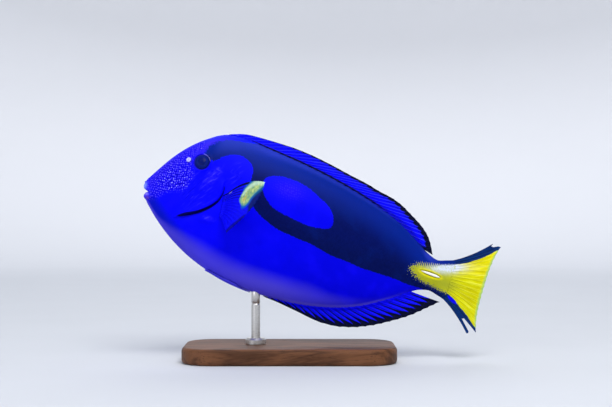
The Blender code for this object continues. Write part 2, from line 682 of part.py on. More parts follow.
def make_base(material):
    """A plate with round corners and rounded edges."""
    size = Vector(BASE_SIZE) * MM
    place = Matrix.Translation((0, 0, size.z / 2)) @ Matrix.Diagonal((*size, 1))
    base = primitive("stand_base", place, bmesh.ops.create_cube, size=1)
    shape = bmesh.new()
    shape.from_mesh(base.data)
    upright = [e for e in shape.edges if abs(e.verts[0].co.z - e.verts[1].co.z) > size.z / 2]
    bmesh.ops.bevel(shape, geom=upright, offset=BASE_CORNER * MM, segments=12, profile=0.5, affect="EDGES")
    shape.to_mesh(base.data)
    shape.free()
    rounding = base.modifiers.new("rounded_edge", "BEVEL")
    rounding.width = BASE_EDGE * MM
    rounding.segments = 3
    rounding.limit_method = "ANGLE"
    rounding.angle_limit = math.radians(50)
    return paint(base, material, 40)


def make_rod(material):
    """A rod from the base up to the belly, its top cut to the belly's shape."""
    x, z = in_row(ROD_U, belly(ROD_U))
    low, above_belly = BASE_SIZE[2] + GAP, 8.0
    rod = cylinder("stand_rod", Matrix.Translation((x * MM, 0, 0)), ROD_RADIUS, low, z + above_belly, 24)
    near = body_loft("near", stations(ROD_U - 24, ROD_U + 24, 3), "torso", levels=25, grow=GAP)
    near.matrix_world = bpy.data.objects["fish_pose"].matrix_world
    boolean(rod, [near], "DIFFERENCE")
    return paint(keep_largest(rod), material, 40)


def make_collar(material):
    """A turned collar round the foot of the rod."""
    x, _ = in_row(ROD_U, belly(ROD_U))
    low = BASE_SIZE[2] + GAP
    inner, outer, top = ROD_RADIUS + GAP, COLLAR_RADIUS, low + COLLAR_HEIGHT
    profile = [(outer - COLLAR_CHAMFER, top), (outer, top - COLLAR_CHAMFER), (outer, low), (inner, low),
               (inner, top)]
    mesh = bpy.data.meshes.new("stand_collar")
    closed = [(i, (i + 1) % len(profile)) for i in range(len(profile))]
    mesh.from_pydata([(r * MM, 0, z * MM) for r, z in profile], closed, [])
    collar = new_object("stand_collar", mesh)
    turned = collar.modifiers.new("turned", "SCREW")
    turned.steps = turned.render_steps = 32
    turned.use_merge_vertices = True
    turned.merge_threshold = 0.00005
    collar.location = (x * MM, 0, 0)
    return paint(collar, material, 60)


# ---------------------------------------------------------------- materials and assembly
def finish_of(name, hex_colour, roughness, metallic=0.0):
    material = bpy.data.materials.new(name)
    material.use_nodes = True
    shader = material.node_tree.nodes["Principled BSDF"]
    channels = [int(hex_colour[i:i + 2], 16) / 255 for i in (0, 2, 4)]
    linear = [c / 12.92 if c <= 0.04045 else ((c + 0.055) / 1.055) ** 2.4 for c in channels]
    shader.inputs["Base Color"].default_value = (*linear, 1)
    shader.inputs["Roughness"].default_value = roughness
    shader.inputs["Metallic"].default_value = metallic
    return material


def clear_scene():
    for obj in list(bpy.data.objects):
        bpy.data.objects.remove(obj)
    collection(PARTS)
    collection(CUTTERS)


def make_pose():
    pose = bpy.data.objects.new("fish_pose", None)
    bpy.data.collections[PARTS].objects.link(pose)
    pose.location = (MOUTH_X * MM, 0, FISH_HEIGHT * MM)
    pose.rotation_euler = (0, PITCH, 0)
    bpy.context.view_layer.update()


def main():
    clear_scene()
    make_pose()
    skin = finish_of("blue_skin", "1410E6", 0.45)
    fin_skin = finish_of("fin_skin", "0A14D8", 0.5)
    tail_skin = finish_of("yellow_tail", "F0E010", 0.5)
    eye_glass = finish_of("eye_glass", "06102A", 0.1)
    horn = finish_of("spine_horn", "E8E6D0", 0.35)
    wood = finish_of("dark_wood", "4A2E1E", 0.45)
    steel = finish_of("steel_rod", "B9BCC0", 0.3, 1.0)

    make_head(skin)
    make_torso(skin)
    make_tail_stem(skin)
    make_median_fin("dorsal_fin", fin_skin, DORSAL_ROOTS, DORSAL_SPINES, DORSAL_SOFT_RAYS, back,
                    DORSAL_MARGIN, DORSAL_LEAN, 1)
    make_median_fin("anal_fin", fin_skin, ANAL_ROOTS, ANAL_SPINES, ANAL_SOFT_RAYS, belly,
                    ANAL_MARGIN, ANAL_LEAN, -1)
    make_caudal_fin(tail_skin)
    for side in (-1, 1):
        make_pectoral_fin(side, fin_skin)
        make_pelvic_fin(side, fin_skin)
        make_eye(side, eye_glass)
        make_tail_spine(side, horn)
    make_base(wood)
    make_rod(steel)
    make_collar(steel)


main()
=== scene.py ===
# %% [markdown]
# # A life-size regal blue tang on a display stand
# The real object is a museum model: a cast resin fish with airbrushed skin, thin cast fins and glass
# eyes, held by a steel rod on a walnut base. Its plain solids come from the CAD pack, which is loaded
# first and is never moved. Everything here is the finish that goes over them, in the same place.

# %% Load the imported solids
import math

import bmesh
import bpy
import numpy as np
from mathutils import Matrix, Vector


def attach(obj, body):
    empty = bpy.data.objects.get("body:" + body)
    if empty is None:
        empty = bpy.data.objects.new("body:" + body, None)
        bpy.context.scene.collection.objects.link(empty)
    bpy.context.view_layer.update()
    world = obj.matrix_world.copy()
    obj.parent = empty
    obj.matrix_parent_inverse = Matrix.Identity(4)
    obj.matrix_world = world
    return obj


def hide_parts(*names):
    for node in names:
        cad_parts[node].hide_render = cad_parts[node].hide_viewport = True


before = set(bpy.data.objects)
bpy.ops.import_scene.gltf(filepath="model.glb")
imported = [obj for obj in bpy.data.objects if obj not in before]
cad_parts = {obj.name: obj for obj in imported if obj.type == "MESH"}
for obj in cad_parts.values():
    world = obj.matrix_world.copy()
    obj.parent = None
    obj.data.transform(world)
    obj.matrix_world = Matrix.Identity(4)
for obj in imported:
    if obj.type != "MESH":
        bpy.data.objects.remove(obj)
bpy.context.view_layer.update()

MM = 0.001  # sizes are in millimetres, and meshes in metres
print("CAD nodes:", len(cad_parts))

# %% [markdown]
# ## Camera
# The fish is seen square from its left side, level with its middle. A long lens keeps its outline true,
# as a catalogue picture would. A short lens would swell the breast fin, which comes towards the camera.

# %% Camera
CAMERA_DISTANCE = 0.9
FRAME_WIDTH = 0.41616  # what the frame takes in at the fish
camera_data = bpy.data.cameras.new("camera")
camera_data.sensor_width = 36
camera_data.lens = 36 * CAMERA_DISTANCE / FRAME_WIDTH
camera = bpy.data.objects.new("camera", camera_data)
camera.location = (0.0111, -CAMERA_DISTANCE, 0.1065)
camera.rotation_euler = (math.radians(90), 0, 0)
bpy.context.scene.collection.objects.link(camera)
bpy.context.scene.camera = camera
print("lens:", round(camera_data.lens, 1), "mm")

# %% [markdown]
# ## Small tools for materials
# A paint is a handful of nodes. One function adds any node with its settings and its inputs, which are
# values or other nodes' outputs, and gives back the output that goes on to the next one. Colours are
# picked as sRGB hex values, as a paint chart gives them, and Blender wants them linear, so one function
# turns them. A paint's markings come from facts: numbers that each point of a mesh is told.


# %% Node and colour helpers
def linear(hex_colour):
    """A paint chart's hex colour as the linear colour that a shader wants."""
    channels = [int(hex_colour[i:i + 2], 16) / 255 for i in (0, 2, 4)]
    return (*[c / 12.92 if c <= 0.04045 else ((c + 0.055) / 1.055) ** 2.4 for c in channels], 1)


def add(tree, kind, inputs=None, output=0, **settings):
    """An output of one new node: its settings come first, then each input, set to a value or linked."""
    made = tree.nodes.new(kind)
    for name, value in settings.items():
        setattr(made, name, value)
    for name, value in (inputs or {}).items():
        if isinstance(value, bpy.types.NodeSocket):
            tree.links.new(value, made.inputs[name])
        else:
            made.inputs[name].default_value = value
    return made.outputs[output]


def new_paint(name, facts=(), **sockets):
    """A material, its tree, its shader with its own sockets set, and the facts that the mesh tells it."""
    paint = bpy.data.materials.new(name)
    paint.use_nodes = True
    tree = paint.node_tree
    shader = tree.nodes["Principled BSDF"]
    for socket, value in sockets.items():
        shader.inputs[socket.replace("_", " ")].default_value = value
    told = {fact: add(tree, "ShaderNodeAttribute", output="Fac", attribute_name=fact) for fact in facts}
    return paint, tree, shader, told


# %% [markdown]
# ## Curves
# A fish is drawn from a few long curves: its back, its belly, its breadth. Each is given by points, and
# a monotone curve passes through them with no overshoot, where a common spline would add humps.


# %% Smooth curves
def smooth(points):
    """A curve through (x, value) points that never overshoots them, as a function of x."""
    xs, ys = (np.array(column, float) for column in zip(*points))
    steps = np.diff(xs)
    slopes = np.diff(ys) / steps
    ends = np.concatenate([[slopes[0]], np.zeros(len(xs) - 2), [slopes[-1]]])
    before, after = slopes[:-1], slopes[1:]
    weight_a, weight_b = 2 * steps[1:] + steps[:-1], steps[1:] + 2 * steps[:-1]
    same_way = before * after > 0
    safe_before, safe_after = np.where(same_way, before, 1), np.where(same_way, after, 1)
    mean = (weight_a + weight_b) / (weight_a / safe_before + weight_b / safe_after)
    ends[1:-1] = np.where(same_way, mean, 0)

    def value(x):
        x = np.clip(x, xs[0], xs[-1])
        i = np.clip(np.searchsorted(xs, x) - 1, 0, len(steps) - 1)
        h = steps[i]
        t = (x - xs[i]) / h
        return ((2 * t**3 - 3 * t**2 + 1) * ys[i] + (t**3 - 2 * t**2 + t) * h * ends[i]
                + (3 * t**2 - 2 * t**3) * ys[i + 1] + (t**3 - t**2) * h * ends[i + 1])

    return value


def fade(value, start, end):
    """0 before start, 1 after end, and smooth in between; start may be the larger."""
    t = np.clip((value - start) / (end - start), 0, 1)
    return t * t * (3 - 2 * t)


def rounded_path(points, count):
    """count points on a smooth curve through the given ones, evenly spread over them."""
    where = np.linspace(0, len(points) - 1, count)
    columns = [smooth(tuple(enumerate(column)))(where) for column in zip(*points)]
    return np.array(columns).T


def closed_curve(points, between=5):
    """A closed outline that runs smoothly through the points."""
    given = np.array(points, float)
    before, after, later = np.roll(given, 1, 0), np.roll(given, -1, 0), np.roll(given, -2, 0)
    shares = [i / between for i in range(between)]
    parts = [given + 0.5 * t * ((after - before) + t * ((2 * before - 5 * given + 4 * after - later)
             + t * (3 * (given - after) + later - before))) for t in shares]
    return np.stack(parts, 1).reshape(-1, given.shape[1])


# %% [markdown]
# ## The body's outline
# Sizes are in the fish's own frame: u runs from the mouth to the tail, v is up, and y is across, with
# the left flank at -y. These are the CAD source's own curves, so the skin lies on the solids. The last
# point of each runs on under the tail fin, as the scaly skin of the real fish does.

# %% Outline curves
BACK_LINE = ((-2.4, 6.6), (-1.9, 7.9), (-0.6, 10.0), (1.5, 13.4), (4.5, 18.1), (9, 24.9), (14.1, 31.4),
             (19.5, 37.2), (25, 42.1), (31, 46.5), (37, 50.2), (43, 52.4), (50, 53.2), (58, 52.7),
             (68, 51.4), (80, 49.9), (94, 48.1), (109, 45.6), (124, 42.5), (139, 38.8), (155, 34.0),
             (171, 27.7), (181, 22.1), (189, 16.9), (196, 12.6), (203, 10.4), (209, 12.0), (215, 13.8))
BELLY_LINE = ((-2.4, 4.8), (-1.5, 2.0), (0.4, -4.6), (1.7, -6.9), (5.2, -10.6), (10.2, -15.4),
              (19.5, -22.9), (28.3, -28.8), (41, -35.4), (56.7, -41.0), (72, -44.4), (86, -45.8),
              (100, -46.1), (112, -45.9), (124, -44.7), (136, -42.7), (148.5, -39.5), (161, -34.7),
              (173, -28.1), (184, -20.9), (191, -15.5), (197, -12.4), (203, -11.2), (209, -12.6),
              (215, -14.4))
HALF_WIDTH = ((-2.4, 1.0), (-1.5, 2.4), (0.3, 3.6), (4, 5.6), (10, 8.5), (20, 11.9), (31, 14.3), (45, 16.4),
              (60, 17.6), (80, 18.0), (100, 17.3), (120, 15.5), (140, 12.9), (160, 9.9), (180, 7.1),
              (195, 5.3), (203, 3.6), (209, 1.5), (215, 0.45))
WIDEST_LINE = ((-2.4, 5.7), (0.3, 2.5), (10, 4), (30, 8), (60, 7.5), (100, 4), (150, 1), (209, -0.3))
BACK_SHARPNESS = ((-2, 2.1), (20, 1.95), (50, 1.75), (170, 1.75), (200, 2.0), (209, 2.6))
BELLY_SHARPNESS = ((-2, 2.1), (20, 2.0), (60, 1.95), (120, 1.8), (200, 2.0), (209, 2.6))
back, belly, half_width, widest, back_sharpness, belly_sharpness = (
    smooth(line) for line in (BACK_LINE, BELLY_LINE, HALF_WIDTH, WIDEST_LINE, BACK_SHARPNESS,
                              BELLY_SHARPNESS))


def half_section(u, v):
    """The widest line at u, and the height and the sharpness of the half of the section that v is in."""
    middle = widest(u)
    tall = np.where(v > middle, back(u) - middle, middle - belly(u))
    return middle, tall, np.where(v > middle, back_sharpness(u), belly_sharpness(u))


def section_share(u, y, v):
    """1 on the plain skin and less inside it: the section is two half superellipses."""
    middle, tall, sharp = half_section(u, v)
    return ((np.abs(y) / half_width(u)) ** sharp + (np.abs(v - middle) / tall) ** sharp) ** (1 / sharp)


deepest = max(np.linspace(0, 200, 401), key=lambda u: back(u) - belly(u))
print("body depth:", round(float(back(deepest) - belly(deepest)), 1), "mm at", round(float(deepest)), "mm")

# %% [markdown]
# ## Gill cover and shoulder
# The gill cover is a bony plate whose rear edge stands a millimetre proud of the shoulder behind it.
# In the solids head and torso are two parts. On the real fish it is one skin with a step in it, so the
# step is a change of height along the gill line, less than a millimetre wide.

# %% Relief of the flank
GILL_LINE = ((41.5, 62), (43.9, 50), (46.3, 39), (48.4, 29), (49.9, 20), (50.3, 13.5), (49.2, 8.8),
             (46.3, 4.4), (42.5, 0.4), (38, -3.4), (32, -7.2), (26, -10.6), (18, -14.4), (8, -19))
GILL_LIP, GILL_LIP_REACH = 1.1, 7.0
GILL_STEP, GILL_STEP_REACH = 0.7, 4.0
GILL_EDGE = 0.35  # half the width of the step
GILL_CREASE, GILL_CREASE_WIDTH = 0.45, 0.7  # a fold just behind the edge, which the solids leave out
GILL_FADE_V, GILL_FADE_U = (24, 15), (22, 31)  # it fades sooner than on the solids, where two parts meet
SHOULDER_RISE, SHOULDER_REACH = 1.5, (6, 10)
PECTORAL_ROOTS = ((53.6, 12.6), (54.6, -2.0))
THIN_BODY = 3.0  # where the half width is less than this, the relief sinks away
gill_edge = rounded_path(GILL_LINE, 53)
head_outline = np.concatenate([gill_edge, [(-12, -19), (-12, 62)]])


def signed_distance(outline, u, v):
    """Distance to a closed outline in millimetres, more than 0 inside it."""
    nearest, inside = np.full(np.shape(u), 1e9), np.zeros(np.shape(u), bool)
    for (u_a, v_a), (u_b, v_b) in zip(outline, np.roll(outline, -1, 0)):
        along_u, along_v = u_b - u_a, v_b - v_a
        share = ((u - u_a) * along_u + (v - v_a) * along_v) / (along_u**2 + along_v**2 + 1e-12)
        share = np.clip(share, 0, 1)
        nearest = np.minimum(nearest, (u - u_a - share * along_u) ** 2 + (v - v_a - share * along_v) ** 2)
        if v_a != v_b:
            inside ^= ((v_a > v) != (v_b > v)) & (u < u_a + (v - v_a) * along_u / along_v)
    return np.where(inside, 1, -1) * np.sqrt(nearest)


def relief(u, v):
    """How far the flank stands out from the plain outline, in millimetres."""
    gap = signed_distance(head_outline, u, v)
    on_head = fade(gap, -GILL_EDGE, GILL_EDGE)
    lip = GILL_LIP * np.exp(-((gap / GILL_LIP_REACH) ** 2))
    dip = -GILL_STEP * np.exp(-((gap / GILL_STEP_REACH) ** 2))
    dip -= GILL_CREASE * np.exp(-(((gap + GILL_CREASE_WIDTH) / GILL_CREASE_WIDTH) ** 2))
    strength = fade(v, *GILL_FADE_V) * fade(u, *GILL_FADE_U)
    middle_u, middle_v = np.mean(PECTORAL_ROOTS, 0)
    away = ((u - middle_u) / SHOULDER_REACH[0]) ** 2 + ((v - middle_v) / SHOULDER_REACH[1]) ** 2
    return strength * (dip + (lip - dip) * on_head) + (1 - on_head) * SHOULDER_RISE * np.exp(-away)


def flank(u, v):
    """Half width of the body at (u, v)."""
    u, v = np.asarray(u, float), np.asarray(v, float)
    middle, tall, sharp = half_section(u, v)
    share = np.minimum(1.0, np.abs(v - middle) / tall)
    out = half_width(u) * (1 - share**sharp) ** (1 / sharp)
    return out + relief(u, v) * np.minimum(1.0, out / THIN_BODY)


print("gill step:", round(float(flank(46, 6) - flank(48.8, 6)), 2), "mm across the edge")

# %% [markdown]
# ## Mouth
# The tang's mouth is small, at the very tip of the snout, with thick lips and a slight gape. Lips could
# be separate tubes, but a seam would show, so they are melted into the head: distances to the head and
# to each lip are joined by a rounded minimum, and the gape is taken out by a rounded maximum.

# %% Distance to the snout's flesh
UPPER_LIP = ((5.4, 4.3, 0.4, 0.8), (3.4, 4.0, 1.1, 1.3), (1.3, 3.3, 1.9, 1.7), (-0.3, 1.9, 2.8, 2.15),
             (-0.9, 0, 3.2, 2.3))
LOWER_LIP = ((5.4, 4.3, -0.7, 0.8), (3.7, 4.0, -1.7, 1.3), (2.2, 3.2, -2.6, 1.6), (1.1, 1.8, -3.2, 1.75),
             (0.7, 0, -3.4, 1.8))
MOUTH_SLIT = np.array(((1.3, -0.2), (0.2, 0.35), (-1.2, 0.75), (-6, 1.8), (-6, -3.0), (-1.2, -1.45),
                       (0.2, -0.75)))
LIP_MELT, LIPS_MEET, GAPE_ROUNDING = 1.6, 0.2, 0.4  # widths of the rounded joins


def head_gap(u, y, v):
    """Roughly how far a point is outside the plain head."""
    here, step = section_share(u, y, v), 0.05
    nearby = ((u + step, y, v), (u, y + step, v), (u, y, v + step))
    slopes = [(section_share(*place) - here) / step for place in nearby]
    return (here - 1) / np.sqrt(sum(s**2 for s in slopes) + 1e-6) + np.clip(BACK_LINE[0][0] - u, 0, None)


def lip_gap(lip, u, y, v):
    """Distance to a lip, which is a bent tube of changing thickness, the same on both sides."""
    path, y = rounded_path(lip, 12), np.abs(y)
    nearest = np.full(np.shape(u), 99.0)
    for a, b in zip(path[:-1], path[1:]):
        way = b[:3] - a[:3]
        share = ((u - a[0]) * way[0] + (y - a[1]) * way[1] + (v - a[2]) * way[2]) / (way @ way)
        share = np.clip(share, 0, 1)
        off = [p - a[i] - share * way[i] for i, p in enumerate((u, y, v))]
        nearest = np.minimum(nearest, np.sqrt(sum(o**2 for o in off)) - a[3] - share * (b[3] - a[3]))
    return nearest


def melted(a, b, width):
    """The smaller of two distances, with the corner between them rounded over this width."""
    near = np.clip(width - np.abs(a - b), 0, None) / width
    return np.minimum(a, b) - near**2 * width / 4


def flesh_gap(u, y, v):
    """Distance outside the snout: head and lips melted together, less the gape."""
    both_lips = melted(lip_gap(UPPER_LIP, u, y, v), lip_gap(LOWER_LIP, u, y, v), LIPS_MEET)
    solid = melted(head_gap(u, y, v), both_lips, LIP_MELT)
    return -melted(-solid, -signed_distance(MOUTH_SLIT, u, v), GAPE_ROUNDING)


foremost = min(u - thickness for u, _, _, thickness in UPPER_LIP)
print("lips stand", round(BACK_LINE[0][0] - foremost, 2), "mm ahead of the snout")

# %% [markdown]
# ## The skin, as rows of points
# The skin is one closed surface from the gape to the tail, laid out like a map: rows go from nose to
# tail, and columns from the keel up the flank to the back. Each point is found by going out from the
# middle of the fish until the flesh ends. Ahead of NOSE_ROW the rows fan forward round the snout and
# meet inside the mouth, where the join is out of sight. A voxel remesh would give one skin too, but it
# rounds off the lips and the gill edge.

# %% Directions of the rows and columns
NOSE_ROW = 10.0  # u of the row where the fan begins
FAN_ROWS, SIDE_COLUMNS = 76, 190
SECTION_ASPECT = 2.8  # height to breadth of a usual section, for even spacing round it

turns = np.linspace(-math.pi / 2, math.pi / 2, 2001)
lengths = np.cumsum(np.hypot(np.sin(turns), SECTION_ASPECT * np.cos(turns)))
even_turns = np.interp(np.linspace(lengths[0], lengths[-1], SIDE_COLUMNS + 1), lengths, turns)
flat, tall = np.cos(even_turns), SECTION_ASPECT * np.sin(even_turns)
side_y, side_v = -flat / np.hypot(flat, tall), tall / np.hypot(flat, tall)
side_y[[0, -1]] = 0
row_places = np.concatenate([np.arange(NOSE_ROW + 0.45, 58, 0.45), np.arange(58, 190, 0.8),
                             np.arange(190, 215.2, 0.5)])  # closer together on the head and on the tail
print("rows:", FAN_ROWS + len(row_places), "columns a side:", SIDE_COLUMNS)


# %% Find the skin along each direction
def march_out(start, way, gap, reach, steps):
    """The first point outside the flesh on each line that starts inside it."""
    stride = reach / steps
    inside, last = np.ones(way[0].shape, bool), np.zeros(way[0].shape)
    for i in range(1, steps + 1):
        inside &= gap(*(s + w * stride * i for s, w in zip(start, way))) < 0
        last = np.where(inside, stride * i, last)
    near, far = last, last + stride
    for _ in range(14):  # halving the last stride 14 times leaves less than a micrometre
        middle = (near + far) / 2
        still = gap(*(s + w * middle for s, w in zip(start, way))) < 0
        near, far = np.where(still, middle, near), np.where(still, far, middle)
    return np.stack([s + w * near + 0 * middle for s, w in zip(start, way)], -1)


def axis_v(u):
    """Height of the start of each line, on the middle of the body."""
    return -0.3 + (widest(u) + 0.3) * fade(u, NOSE_ROW, 40)


lean = np.linspace(0.01, math.pi / 2, FAN_ROWS)[:, None]
fan_way = (-np.cos(lean) + 0 * side_y, np.sin(lean) * side_y, np.sin(lean) * side_v)
fan = march_out((NOSE_ROW, 0.0, float(axis_v(NOSE_ROW))), fan_way, flesh_gap, reach=34, steps=90)
rows_u = row_places[:, None]
body_start = (rows_u + 0 * side_y, 0 * side_y, axis_v(rows_u) + 0 * side_y)
body_way = (0 * side_y + 0 * rows_u, side_y + 0 * rows_u, side_v + 0 * rows_u)
body = march_out(body_start, body_way, lambda u, y, v: section_share(u, y, v) - 1, reach=70, steps=7)
side_points = np.concatenate([fan, body])  # the left flank: rows, columns and (u, y, v)
print("left flank:", side_points.shape[:2], "points, snout tip at u =",
      round(float(fan[..., 0].min()), 2), "mm")

# %% [markdown]
# ## Relief on the skin
# Now the gill step and the shoulder push the flank outwards. Round each eye the skin rises to a rim and
# then drops into the socket, and on each side of the tail it sinks into the sheath of the spine.


# %% Push out the gill cover, sink the sockets and sheaths
def surface_frame(u, v, side):
    """A place on the flank and the directions rearward, up and out there; side is -1 left, 1 right."""
    step = 0.5
    slope_u = (flank(u + step, v) - flank(u - step, v)) / (2 * step)
    slope_v = (flank(u, v + step) - flank(u, v - step)) / (2 * step)
    normal = Vector((-slope_u, side, -slope_v)).normalized()
    across = Vector((0, 0, 1)).cross(normal).normalized()
    place = Vector((u, side * flank(u, v), v))
    return tuple(np.array(vector) for vector in (place, across, normal.cross(across), normal))


EYE_PLACE = (31.3, 29.3)
RIM_RISE, RIM_RADIUS, RIM_WIDTH = 0.5, 6.3, 0.9  # of the skin round each eye
SOCKET_DEPTH, SOCKET_EDGE = 3.2, (5.8, 5.0)  # the skin starts to drop at one radius, and is down at the other
SPINE_SPAN, SPINE_HEIGHT = (193.2, 208.0), 3.0
SHEATH_DEPTH, SHEATH_ROOM = 0.9, (1.2, 0.3, 0.35)  # its room ahead of, above and under the blade
SHEATH_SLOPE = 0.07  # its front is a little higher than its rear
side_points[..., 1] -= relief(side_points[..., 0], side_points[..., 2]) * np.minimum(
    1, -side_points[..., 1] / THIN_BODY)

place, across, up, out = surface_frame(*EYE_PLACE, -1)
off = side_points - place
from_eye = np.hypot(off @ across, off @ up)
near_eye = (from_eye < 12) & (np.abs(off @ out) < 8)
rise = RIM_RISE * np.exp(-(((from_eye - RIM_RADIUS) / RIM_WIDTH) ** 2))
rise -= SOCKET_DEPTH * fade(from_eye, *SOCKET_EDGE)
side_points += (rise * near_eye)[..., None] * out

spine_start, spine_end = SPINE_SPAN
spine_middle = (spine_start + spine_end) / 2
from_mid_spine = side_points[..., 0] - spine_middle
along_spine = from_mid_spine / ((spine_end - spine_start) / 2 + SHEATH_ROOM[0])
up_spine = (side_points[..., 2] + SHEATH_SLOPE * from_mid_spine) / (SPINE_HEIGHT / 2 + SHEATH_ROOM[1])
in_sheath = np.clip(1 - along_spine**2 - up_spine**2, 0, 1)
side_points[..., 1] += (SHEATH_DEPTH + SHEATH_ROOM[2]) * fade(in_sheath, 0, 0.55)
print("deepest socket point:", round(float((off @ out + rise)[near_eye].min()), 1), "mm")

# %% [markdown]
# ## Turn the rows into one mesh
# The right flank is the left one mirrored, so the markings match. The first and the last row close with
# one face each, out of sight inside the mouth and inside the tail fin. A helper places every piece of the
# fish: the whole fish is tilted head up over the stand.

# %% Place pieces of the fish in the frame
PITCH = math.radians(16.3)
MOUTH_X, FISH_HEIGHT = -97.0, 115.0


def over_stand(points):
    """Points of the fish, in millimetres, as places in the frame, in metres."""
    u, y, v = np.moveaxis(np.asarray(points, float), -1, 0)
    return np.stack([MOUTH_X + u * math.cos(PITCH) + v * math.sin(PITCH), y,
                     FISH_HEIGHT - u * math.sin(PITCH) + v * math.cos(PITCH)], -1) * MM


def new_object(name, places, faces, paint):
    """A smooth, painted mesh in the scene, with every face turned outwards; places are in metres."""
    mesh = bpy.data.meshes.new(name)
    mesh.from_pydata(np.asarray(places).reshape(-1, 3).tolist(), [], faces)
    shell = bmesh.new()
    shell.from_mesh(mesh)
    bmesh.ops.recalc_face_normals(shell, faces=shell.faces)
    shell.to_mesh(mesh)
    shell.free()
    mesh.shade_smooth()
    mesh.materials.append(paint)
    made = bpy.data.objects.new(name, mesh)
    bpy.context.scene.collection.objects.link(made)
    return made


def new_piece(name, points, faces, paint, nodes=(), facts=None, in_fish=True):
    """A piece that rides with the fish, with one number a point for each fact that its paint reads."""
    piece = new_object(name, over_stand(points) if in_fish else np.asarray(points) * MM, faces, paint)
    for fact, values in (facts or {}).items():
        made = piece.data.attributes.new(fact, "FLOAT", "POINT")
        made.data.foreach_set("value", np.asarray(values, np.float32).ravel())
    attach(piece, "root")
    if nodes:
        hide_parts(*nodes)
    print(name, len(piece.data.polygons), "faces")
    return piece


# %% Faces of the skin
def mirrored(values, sign=1):
    """Values on the left flank, and then the same on the right one, as a closed round of columns."""
    return np.concatenate([values, sign * values[:, -2:0:-1]], 1)


def ring_faces(rings, count, closed=False):
    """Faces from each ring of points to the next; the end rings are capped, or joined where it is closed."""
    faces = []
    for i in range(rings if closed else rings - 1):
        first, second = i * count, (i + 1) % rings * count
        faces += [(first + j, first + (j + 1) % count, second + (j + 1) % count, second + j)
                  for j in range(count)]
    return faces if closed else faces + [list(range(count)), list(range((rings - 1) * count, rings * count))]


rows, around = side_points.shape[0], 2 * SIDE_COLUMNS
skin_points = np.stack([mirrored(side_points[..., axis], sign) for axis, sign in enumerate((1, -1, 1))], -1)
skin_faces = ring_faces(rows, around)
print("skin:", len(skin_faces), "faces")

# %% [markdown]
# ## Where the colours meet
# The markings are painted from distances. Each point of the skin is told how far it lies inside the
# black palette shape, the yellow wedge, the spotted snout and so on, in millimetres. The paint turns a
# distance into an edge, which stays crisp at any mesh size and can be roughened by a pattern. Painting
# colours on the points themselves would blur each edge over a whole face.

# %% Outlines of the markings, in millimetres from the mouth
BLACK_OUTLINE = closed_curve((
    (35.4, 31.6), (32.4, 33.6), (31.4, 37.4), (33, 41.4), (36.4, 45), (39.4, 47), (44, 48.7), (51, 50),
    (58.5, 50.8), (64, 52.4), (70, 56), (100, 60), (140, 52), (180, 36), (205, 24), (230, 34), (250, 40),
    (252, 0), (250, -40), (232, -34), (212, -20), (200, -11.9), (189.6, -11.2), (182.3, -10.5), (175, -9.8),
    (167.8, -9.4), (160.7, -9.3), (153.5, -9), (146.1, -7.9), (138.8, -7.2), (131.6, -6.5), (124, -4.8),
    (116.3, -2.8), (109, -2.1), (101.6, -1.1), (94.2, -0.1), (86.4, 2.6), (81.5, 4.7), (76.5, 7.5),
    (72.7, 10.6), (70, 14.6), (68.4, 19), (66.8, 22.4), (66.4, 26.6), (66.2, 31.6), (65, 35.4), (62.6, 38),
    (59.2, 39.7), (55.6, 40.7), (51.6, 40.4), (47.4, 38.8), (43.6, 36.2), (39.8, 32.8)))
BLUE_OVAL = closed_curve((
    (74.9, 24.7), (74.9, 29.7), (77.6, 32.6), (84, 34.8), (91, 35.1), (98.3, 34.4), (106, 32.4),
    (114.2, 28.4), (121, 24.8), (124.9, 20.9), (126.7, 17.4), (127.2, 13.1), (125.2, 10.4), (120, 8.9),
    (113.1, 8.3), (105.8, 9), (98.3, 10.3), (90.8, 11.7), (84.4, 14.1), (78.8, 18.8)))
YELLOW_WEDGE = closed_curve((
    (186, 0), (188.3, 2.7), (192.4, 4.5), (198.6, 5.7), (205.2, 7.6), (218.2, 11.9), (230.3, 19.2),
    (238.8, 26.6), (250, 33), (256, 0), (250, -32), (242.1, -27.8), (238, -24.8), (235.4, -22.6),
    (230.2, -18.5), (225.2, -15.2), (220.6, -11.7), (215.4, -9.6), (208, -8.4), (202.6, -7.3), (196.7, -6.3),
    (192.6, -4.8), (189.3, -2.4)))
SPOTTED_SNOUT = closed_curve((
    (-6, 10), (0, 18), (10, 30), (20, 41), (27, 46), (31, 43), (30.5, 37), (27, 33), (27, 26), (29.9, 20.1),
    (28.5, 14), (27.1, 7.9), (22, 5.4), (17, 3.6), (13, 0.5), (10, -2.8), (6, -5.5), (2, -7), (-4, -5)))
GILL_SHADOW = ((-11, -0.5), (-10, 0.4), (-8.6, 1.0), (-6, 1.35), (-2, 1.15), (4, 0.85), (9, 0.6), (12, 0.45),
             (17, 0.3), (20, -0.5), (24, -0.5))  # half the width of the painted shadow line in the groove along the gill, by height
# how far ahead of the gill's edge that shadow line lies, by height
GILL_SHADOW_SHIFT = ((-12, 0.5), (-7, 0.5), (-3, -0.2), (5, -0.8), (12, -0.8))

# %% Soft markings, from front to back
# how far up from the keel the violet starts, and how strong it gets
VIOLET_START = smooth(((0, 3), (12, 4.5), (20, 8), (32, 14), (50, 19), (90, 20), (120, 19), (140, 13),
                       (170, 6)))
VIOLET_STRENGTH = smooth(((0, 0.9), (30, 0.75), (60, 0.8), (85, 1), (100, 1), (120, 0.75), (140, 0.5),
                          (165, 0.1), (180, 0)))
CHIN_REACH = (15, 6), (60, 30)  # where the painted shade under the chin is bare and full, up from the keel and back from the mouth
